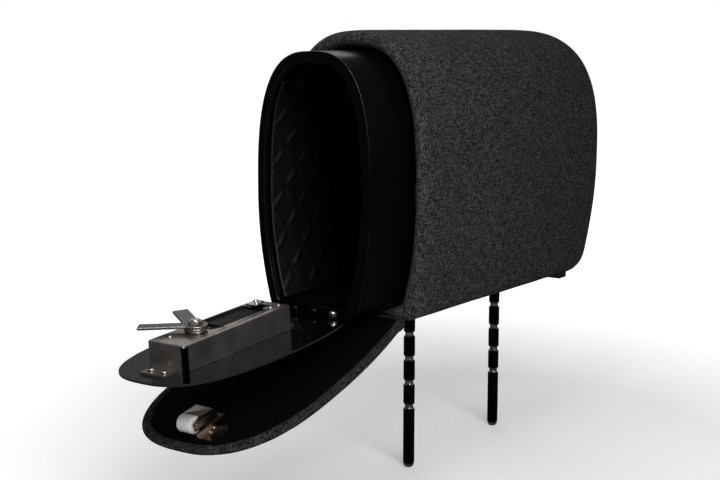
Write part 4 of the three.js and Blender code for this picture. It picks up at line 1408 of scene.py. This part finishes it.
class HEADREST_OT_lock_case(bpy.types.Operator):
    """Fold the lock case with its window and feet, and fit the code stack and reset lever"""

    bl_idname = "headrest.lock_case"
    bl_label = "Lock case"

    def execute(self, context):
        d = settings().door
        start, half, high = d.case_start, d.case_half, d.case_height
        left, right, lower, upper = 0.067, 0.116, -0.014, 0.010  # the window's edges
        end, wall = start + d.case_length, 0.0012
        foot, deep = (0.0002, 0.0017), (-0.001, high - wall)
        through = (high - 0.003, high + 0.001)
        case = block("lock_housing", start, end, -half, half, foot[0], high)
        with editing(case):
            pick(case, "EDGE", upright)
            bpy.ops.mesh.bevel(offset=0.0016, segments=4)
            pick(case, "FACE", lambda face: face.normal.z > 0.9)
            bpy.ops.mesh.bevel(offset=0.0011, segments=3, affect="EDGES")
        cut(
            case,
            block("hollow", start + wall, end - wall, wall - half, half - wall, *deep),
            block("window", left, right, lower, upper, *through),
            block("lever_room", left - 0.009, left + 0.001, -0.008, 0.004, *through),
            block("notch", end - 0.005, end + 0.001, half - 0.004, half + 0.001, *deep),
            bore(SPINDLE_HOLE, 0.005, high + 0.001, d.pivot),
        )
        lip = (left + 0.001, right + 0.001)
        weld(
            case,
            block("tip_foot", end - 0.001, end + 0.015, -0.011, 0.0115, *foot),
            block("hinge_foot", start - 0.008, start + 0.001, 0.003, half - 0.004, *foot),
            block("lip", *lip, upper, upper + 0.0011, high - 0.0006, high + 0.0007),
            block("lip", *lip, lower - 0.0008, lower, high - 0.0006, high + 0.0004),
        )
        rivet = spun("rivet", from_level(
            0, (0, -0.3), (1.9, -0.3), (1.9, 0.4), (1.5, 1.0), (0.8, 1.3), (0, 1.4)
        ), 24)

        def riveted(piece, level, places):
            for x, y in places:
                weld(piece, place(copy_of(rivet, "rivet_copy"), shifted(x, y, level)))

        riveted(case, high - 0.0001, ((0.055, 0.0095), (0.063, 0.0085), (0.1525, -0.0075)))
        # the rounded edges take Bright Nickel as a painted highlight
        soften(case, 0.00028, 2, 40, "Bright Nickel")
        fit(case, "door", "Brushed Case", "bare_steel", "lock_case", at=door_place())
        feet = [(end + 0.009, 0.006), (end + 0.009, -0.006), (start - 0.0045, 0.008)]
        screws(
            "foot_screw", "lock_foot_screw", 0.0024, 0.0014, "door", ["Bright Nickel"] * 3,
            door_place(), [(x, y, 0.0019) for x, y in feet], (0.3, 1.0),
        )

        side, top, ribs = half - 0.0014, high - 0.0032, 7
        stack = block("code_chamber", left - 0.012, right + 0.003, -side, side, 0.0035, top)
        soften(stack, 0.0004)
        pitch = (upper - lower - 0.002) / ribs
        rib_half = pitch * 0.33
        rib = soften(block(
            "rib", left + 0.001, right - 0.001, -rib_half, rib_half, top - 0.0005, top + 0.0013
        ), 0.00045, 3)
        for i in range(ribs):
            where = shifted(0, lower + 0.001 + (i + 0.5) * pitch, 0)
            weld(stack, place(copy_of(rib, "rib_copy"), where))
        bpy.data.objects.remove(rib)
        shade(stack, 35)
        fit(stack, "door", "Code Plastic", "black_plastic", "code_stack", at=door_place())

        level = (high + 0.0002, high + 0.0012)
        lever = weld(
            block("reset_lever_plate", start + 0.003, left - 0.001, -0.013, -0.006, *level),
            block("tongue", left - 0.008, left - 0.001, -0.010, -0.003, *level),
        )
        riveted(lever, high + 0.0011, ((0.057, -0.0105), (0.0625, -0.005)))
        bpy.data.objects.remove(rivet)
        soften(lever, 0.00018, 2, 40)
        fit(lever, "door", "Bright Nickel", "nickel", "reset_lever", at=door_place())
        return {"FINISHED"}


class HEADREST_OT_lock_outside(bpy.types.Operator):
    """Make the plate, the buttons and the turn knob on the door's outer face"""

    bl_idname = "headrest.lock_outside"
    bl_label = "Lock outside"

    def execute(self, context):
        d, places, face = settings().door, button_places(), OUTSIDE - FACEPLATE
        half, outline = 0.015, []
        for middle, quarter in ((places[0] - 0.002, 1), (d.pivot + 0.002, -1)):
            for i in range(33):
                angle = math.pi * (quarter / 2 + i / 32)
                outline.append((middle + half * math.cos(angle), half * math.sin(angle)))
        plate = pulled(blank("button_plate", outline, on_z(face)), (0, 0, FACEPLATE))
        low, high = face - 0.002, OUTSIDE + 0.002
        holes = [bore(BUTTON_HOLE, low, high, x, 40) for x in places]
        cut(plate, *holes, bore(SPINDLE_HOLE, low, high, d.pivot, 40))
        soften(plate, 0.0004, 3, 40)
        fit(plate, "door", "Lock Steel", "nickel", "lock_faceplate", at=door_place())

        tip = from_level(
            face - 0.0028, (4.6, 0.7), (4.3, 0.2), (3.8, 0), (3.1, 0.2), (1.6, 0.5), (0, 0.6)
        )
        first = shade(spun("lock_button_1", [(0.0, 0.0), (tip[0][0], 0.0)] + tip, 36), 30)
        for i, (button, x) in enumerate(zip(copies(first, d.buttons), places), 1):
            where = door_place() @ shifted(x, 0, 0)
            fit(button, f"button_{i}", "Lock Steel", "bare_steel", f"button_{i}", at=where)

        back = face - 0.0005
        knob = spun("lock_knob", from_level(
            back, (3.5, 0), (9.4, 0), (10, -0.6), (10, -2.4), (9.6, -2.9), (3.5, -3.1)
        ), 56, closed=True)
        grip = block("grip", -0.009, 0.009, -0.0024, 0.0024, back - 0.0058, back - 0.002)
        with editing(grip):
            pick(grip, "EDGE", upright)
            bpy.ops.mesh.bevel(offset=0.0018, segments=4)
        weld(knob, cut(grip, bore(SPINDLE_BORE, back - 0.0050, back + 0.001, sides=40)))
        soften(knob, 0.0004, 3, 40)
        fit(knob, "lock", "Black Plastic", "black_plastic", "turn_knob",
            at=door_place() @ shifted(d.pivot, 0, 0))
        return {"FINISHED"}


class HEADREST_OT_cam_arms(bpy.types.Operator):
    """Cut the two cam arms, and turn their washer, nut and spindle"""

    bl_idname = "headrest.cam_arms"
    bl_label = "Cam arms"

    def execute(self, context):
        d = settings().door
        washer_low = d.case_height + 0.0003
        long_low = washer_low + 0.0012
        short_low = long_low + 0.0020
        nut_low = short_low + 0.0020
        at = door_place() @ shifted(d.pivot, 0, 0)
        washer = spun("spindle_washer_ring", from_level(
            washer_low, (3.5, 0), (6.6, 0), (6.8, 0.2), (6.8, 0.8), (6.6, 1), (3.5, 1)
        ), 48, closed=True)
        fit(shade(washer, 40), "lock", "Bright Nickel", "nickel", "spindle_washer", at=at)

        disc, corner = 0.0083, 0.0008
        for name, piece, reach, half, degrees, low in (
            ("cam_arm_long", "arm_long", 0.049, 0.0058, 56, long_low),
            ("cam_arm_short", "arm_short", 0.0405, 0.0052, 124, short_low),
        ):
            lead = math.asin(half / disc)
            angles = [lead + (math.tau - 2 * lead) * i / 40 for i in range(41)]
            outline = [(disc * math.cos(angle), disc * math.sin(angle)) for angle in angles]
            end = [(corner, 0.0), (corner * 0.3, corner * 0.3), (0.0, corner)]
            outline += [(reach - x, y - half) for x, y in end]
            outline += [(reach - x, half - y) for x, y in reversed(end)]
            arm = pulled(blank(name, outline, on_z(low)), (0, 0, 0.0018))
            cut(arm, bore(SPINDLE_BORE, low - 0.001, low + 0.003, sides=40))
            # the rounded edges take Bright Nickel as a painted highlight
            soften(arm, 0.0003, 3, 40, "Bright Nickel")
            fit(arm, "lock", "Lock Steel", "bare_steel", piece,
                at=at @ turned(math.radians(180 + degrees)))

        section = from_level(nut_low, (3.5, 0), (5.2, 0), (5.2, 2.6), (3.5, 2.6))
        dome = from_level(nut_low, (0, -1), (6.24, -1), (5.824, 1.4), (4.368, 2.7), (0, 2.7))
        nut = spun("hub_hex_nut", section, 6, closed=True)
        soften(combined("INTERSECT", nut, spun("dome", dome, 48)), 0.0001, 2, 25)
        fit(nut, "lock", "Bright Nickel", "nickel", "hub_nut", at=at)

        back, top = OUTSIDE - FACEPLATE - 0.0053, nut_low + 0.0034
        profile = [(0.0, back), (SPINDLE, back)]
        for i in range(9):
            profile.append((SPINDLE - 0.00025 * (i % 2), nut_low + 0.0002 + 0.0003 * i))
        profile += [(SPINDLE, top - 0.0004), (0.0031, top), (0.0, top)]
        spindle = shade(spun("lock_spindle_rod", profile, 40), 30)
        fit(spindle, "lock", "Bright Nickel", "nickel", "lock_spindle", at=at)
        return {"FINISHED"}


class HEADREST_OT_flap(bpy.types.Operator):
    """Sew the flap: padded outside with a rolled rim, and cloth inside"""

    bl_idname = "headrest.flap"
    bl_label = "Flap"

    def execute(self, context):
        f = settings().flap
        w, t, middle = f.rim, f.thickness, f.tip / 2
        shape = arch(f.half, f.tip, f.wide, 0.002, f.foot, 0.008, 2.64)
        line = lambda by: [(z, y) for y, z in arch_line(grown(shape, -by, -by, -by * 0.3), 180)]
        level = lambda points, share, height: [
            (middle + (x - middle) * share, y * share, height) for x, y in points
        ]
        section = [
            (w, -0.0043), (w, -0.0024), (w - 0.0003, -0.0014), (w - 0.0011, -0.0006),
            (w - 0.0022, -0.0001), (0.0037, 0.0001), (0.0027, -0.0002), (0.0017, -0.0008),
            (0.0008, -0.0017), (0.0001, -0.0031), (0.0003, -0.0047), (0.0012, -0.0059),
            (0.0027, -0.0067), (0.0050, -t), (0.0085, -t - 0.0002),
        ]
        rings = [level(line(w), share, section[0][1]) for share in (0.3, 0.7)]
        rings += [level(line(by), 1.0, height) for by, height in section]
        by, height = section[-1]
        for share in (0.9, 0.78, 0.64, 0.5, 0.35, 0.2, 0.08):
            rings.append(level(line(by), share, height - f.crown * (1 - share**2) ** 1.2))

        def back(centre, normal):
            return from_above if abs(normal.z) > 0.8 and centre.z < -0.0055 else None

        edge = line(0.0)
        pad = soft("flap_padding", rings, True, True, run_of(edge + edge[:1])[-1], back)
        smoothed(roughened(
            pad, lambda p: 0.0 if -0.0052 <= p.z <= -0.0008 else noise.noise(p * 55.0) * 0.00025
        ))
        fit(pad, "flap", "Flap Heather", "weave", "flap_pad", at=flap_place())

        edge, rings, steps = line(w + 0.0002), [], 32
        for k in range(3, steps + 1):
            share = k / steps
            low = -0.0007 - 0.0004 * max(0.0, share - 0.96) / 0.04
            rings.append([
                (x, y, z + 0.00022 * noise.noise(Vector((a * share * 40, y * 40, 3.0))))
                for (x, y, z), (a, _) in zip(level(edge, share, low), edge)
            ])
        cloth = soft("flap_inner_cloth", rings, start=True, flat=lambda centre, normal: from_above)
        facing(cloth, lambda face: face.normal.z)
        thickened(cloth, 0.0008)
        fit(cloth, "flap", "Flap Cloth", "black_cloth", "flap_cloth", at=flap_place())
        return {"FINISHED"}


class HEADREST_OT_catch(bpy.types.Operator):
    """Make the roller catch on the flap and the clip beside it"""

    bl_idname = "headrest.catch"
    bl_label = "Roller catch"

    def execute(self, context):
        f, floor, at = settings().flap, FLAP_CLOTH_LEVEL, flap_place()
        along, radius, across, half = f.roller, f.roller_radius, 0.001, 0.0065
        axle = floor + radius + 0.0005
        inside, side, wide = half + 0.0002, half + 0.0014, half + 0.0024
        base = block("catch_foot_plate", along - 0.027, along - 0.009, across - wide, across + wide,
                     floor, floor + 0.0012)
        fit(soften(base, 0.0003), "flap", "Catch Nickel", "nickel", "catch_base", at=at)

        back, top = along - 0.021, axle + radius * 0.75
        slope = [
            (back, floor + 0.0014), (back + 0.007, floor + 0.0014), (along + 0.003, axle - 0.003),
            (along + 0.0034, axle + 0.0024), (along - 0.004, top), (back + 0.003, top - 0.0012),
            (back + 0.0004, top - 0.0034), (back, top - 0.005),
        ]
        arm = pulled(blank("catch_strap", slope, on_y(across - side)), (0, 2 * side, 0))
        under = blank("under", [(x, z - 0.0013) for x, z in slope], on_y(across - inside))
        ends = lambda by: ((along, across - by, axle), (along, across + by, axle))
        cut(arm, pulled(under, (0, 2 * inside, 0)), rod("room", radius + 0.0003, *ends(inside), 48),
            rod("bore", 0.0017, *ends(0.02), 24))
        # the rounded edges take Bright Nickel as a painted highlight
        soften(arm, 0.00035, 2, 30, "Bright Nickel")
        fit(arm, "flap", "Catch Nickel", "nickel", "catch_arm", at=at)

        crosswise = at @ shifted(along, across, axle) @ turned(math.pi / 2, "X")
        reach, edge = side + 0.0008, 0.0014
        half_pin = [(0, -reach), (0.0011, -reach), (0.0015, 0.0003 - reach)]
        pin = shade(spun("roller_axle", both_ends(half_pin), 24))
        fit(pin, "flap", "Catch Nickel", "nickel", "roller_pin", at=crosswise)
        half_roller = [(0.0017, -half)]
        for sine, cosine in rounding(5):
            half_roller.append((radius - edge + edge * sine, -half + edge * (1 - cosine)))
        roller = shade(spun("nylon_roller", both_ends(half_roller), 56, closed=True), 35)
        fit(roller, "roller", "Nylon", "nylon", "catch_roller", at=crosswise)

        x0, x1 = along - 0.012, along + 0.005
        y0, y1 = across + wide + 0.001, across + wide + 0.0155
        roll = (y1 - 0.003, floor + 0.0024)
        clip = weld(
            block("catch_side_clip", x0, x1, y0, y1, floor, floor + 0.001),
            block("wall", x0, x1, y1 - 0.001, y1, floor, floor + 0.0045),
            block("wall", x0, x1, y0, y0 + 0.001, floor, floor + 0.0032),
            block("stop", x0 + 0.005, x0 + 0.009, y0 + 0.005, y0 + 0.010, floor, floor + 0.003),
            rod("roll", 0.0015, (x0 + 0.002, *roll), (x1 - 0.002, *roll), 20),
        )
        # the rounded edges take Bright Nickel as a painted highlight
        soften(clip, 0.00025, 2, 40, "Bright Nickel")
        fit(clip, "flap", "Warm Plating", "nickel", "catch_clip", at=at)
        fixings = [(x0 + 0.003, y0 + 0.004), (x1 - 0.003, y0 + 0.011)]
        screws(
            "clip_fixing", "clip_screw", 0.0019, 0.0015, "flap", ["Warm Plating"] * 2, at,
            [(x, y, floor + 0.0012) for x, y in fixings], (0.4, 1.0),
        )
        return {"FINISHED"}


class HEADREST_OT_hidden_parts(bpy.types.Operator):
    """Finish the plain parts that keep their first shape"""

    bl_idname = "headrest.hidden_parts"
    bl_label = "Plain parts"

    def execute(self, context):
        for look, pieces in {
            "Satin Black Paint": (
                "housing_sleeve", "catch_strike", "shell_back", "strike_bracket_back",
                "strike_bracket_front",
            ),
            "Plain Steel": (
                "guide_channel_front", "guide_channel_back", "post_screw_mouth_side",
                "post_screw_far_side",
            ),
            "Black Plastic": ("runner_front", "runner_back"),
            "Board": ("flap_board",),
        }.items():
            for piece in pieces:
                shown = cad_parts[piece].data
                shown.materials.clear()
                shown.materials.append(finish(look))
        return {"FINISHED"}


STEPS = (
    HEADREST_OT_stage, HEADREST_OT_cover, HEADREST_OT_flap, HEADREST_OT_fold,
    HEADREST_OT_mouth_fittings, HEADREST_OT_posts, HEADREST_OT_shell, HEADREST_OT_lining,
    HEADREST_OT_door, HEADREST_OT_lock_case, HEADREST_OT_lock_outside, HEADREST_OT_cam_arms,
    HEADREST_OT_catch, HEADREST_OT_hidden_parts,
)


class HEADREST_PT_panel(bpy.types.Panel):
    """Sizes, colours and the steps that build the headrest safe"""

    bl_label = "Headrest Safe"
    bl_idname = "HEADREST_PT_panel"
    bl_space_type = "VIEW_3D"
    bl_region_type = "UI"
    bl_category = "Headrest Safe"

    def draw(self, context):
        layout = self.layout
        chosen = context.scene.headrest_safe
        for part in ("headrest", "safe", "door", "flap", "colours"):
            box = layout.box()
            box.label(text=part.title())
            values = getattr(chosen, part)
            for key in values.__annotations__:
                box.prop(values, key)
        for step in STEPS:
            layout.operator(step.bl_idname)


CLASSES = (
    HeadrestSizes, SafeSizes, DoorSizes, FlapSizes, Colours, HeadrestSafeSettings, *STEPS,
    HEADREST_PT_panel,
)


def register():
    for item in CLASSES:
        bpy.utils.register_class(item)
    bpy.types.Scene.headrest_safe = PointerProperty(type=HeadrestSafeSettings)


def unregister():
    del bpy.types.Scene.headrest_safe
    for item in reversed(CLASSES):
        bpy.utils.unregister_class(item)


def main():
    register()
    for step in STEPS:
        group, name = step.bl_idname.split(".")
        getattr(getattr(bpy.ops, group), name)()


if __name__ == "__main__":
    main()
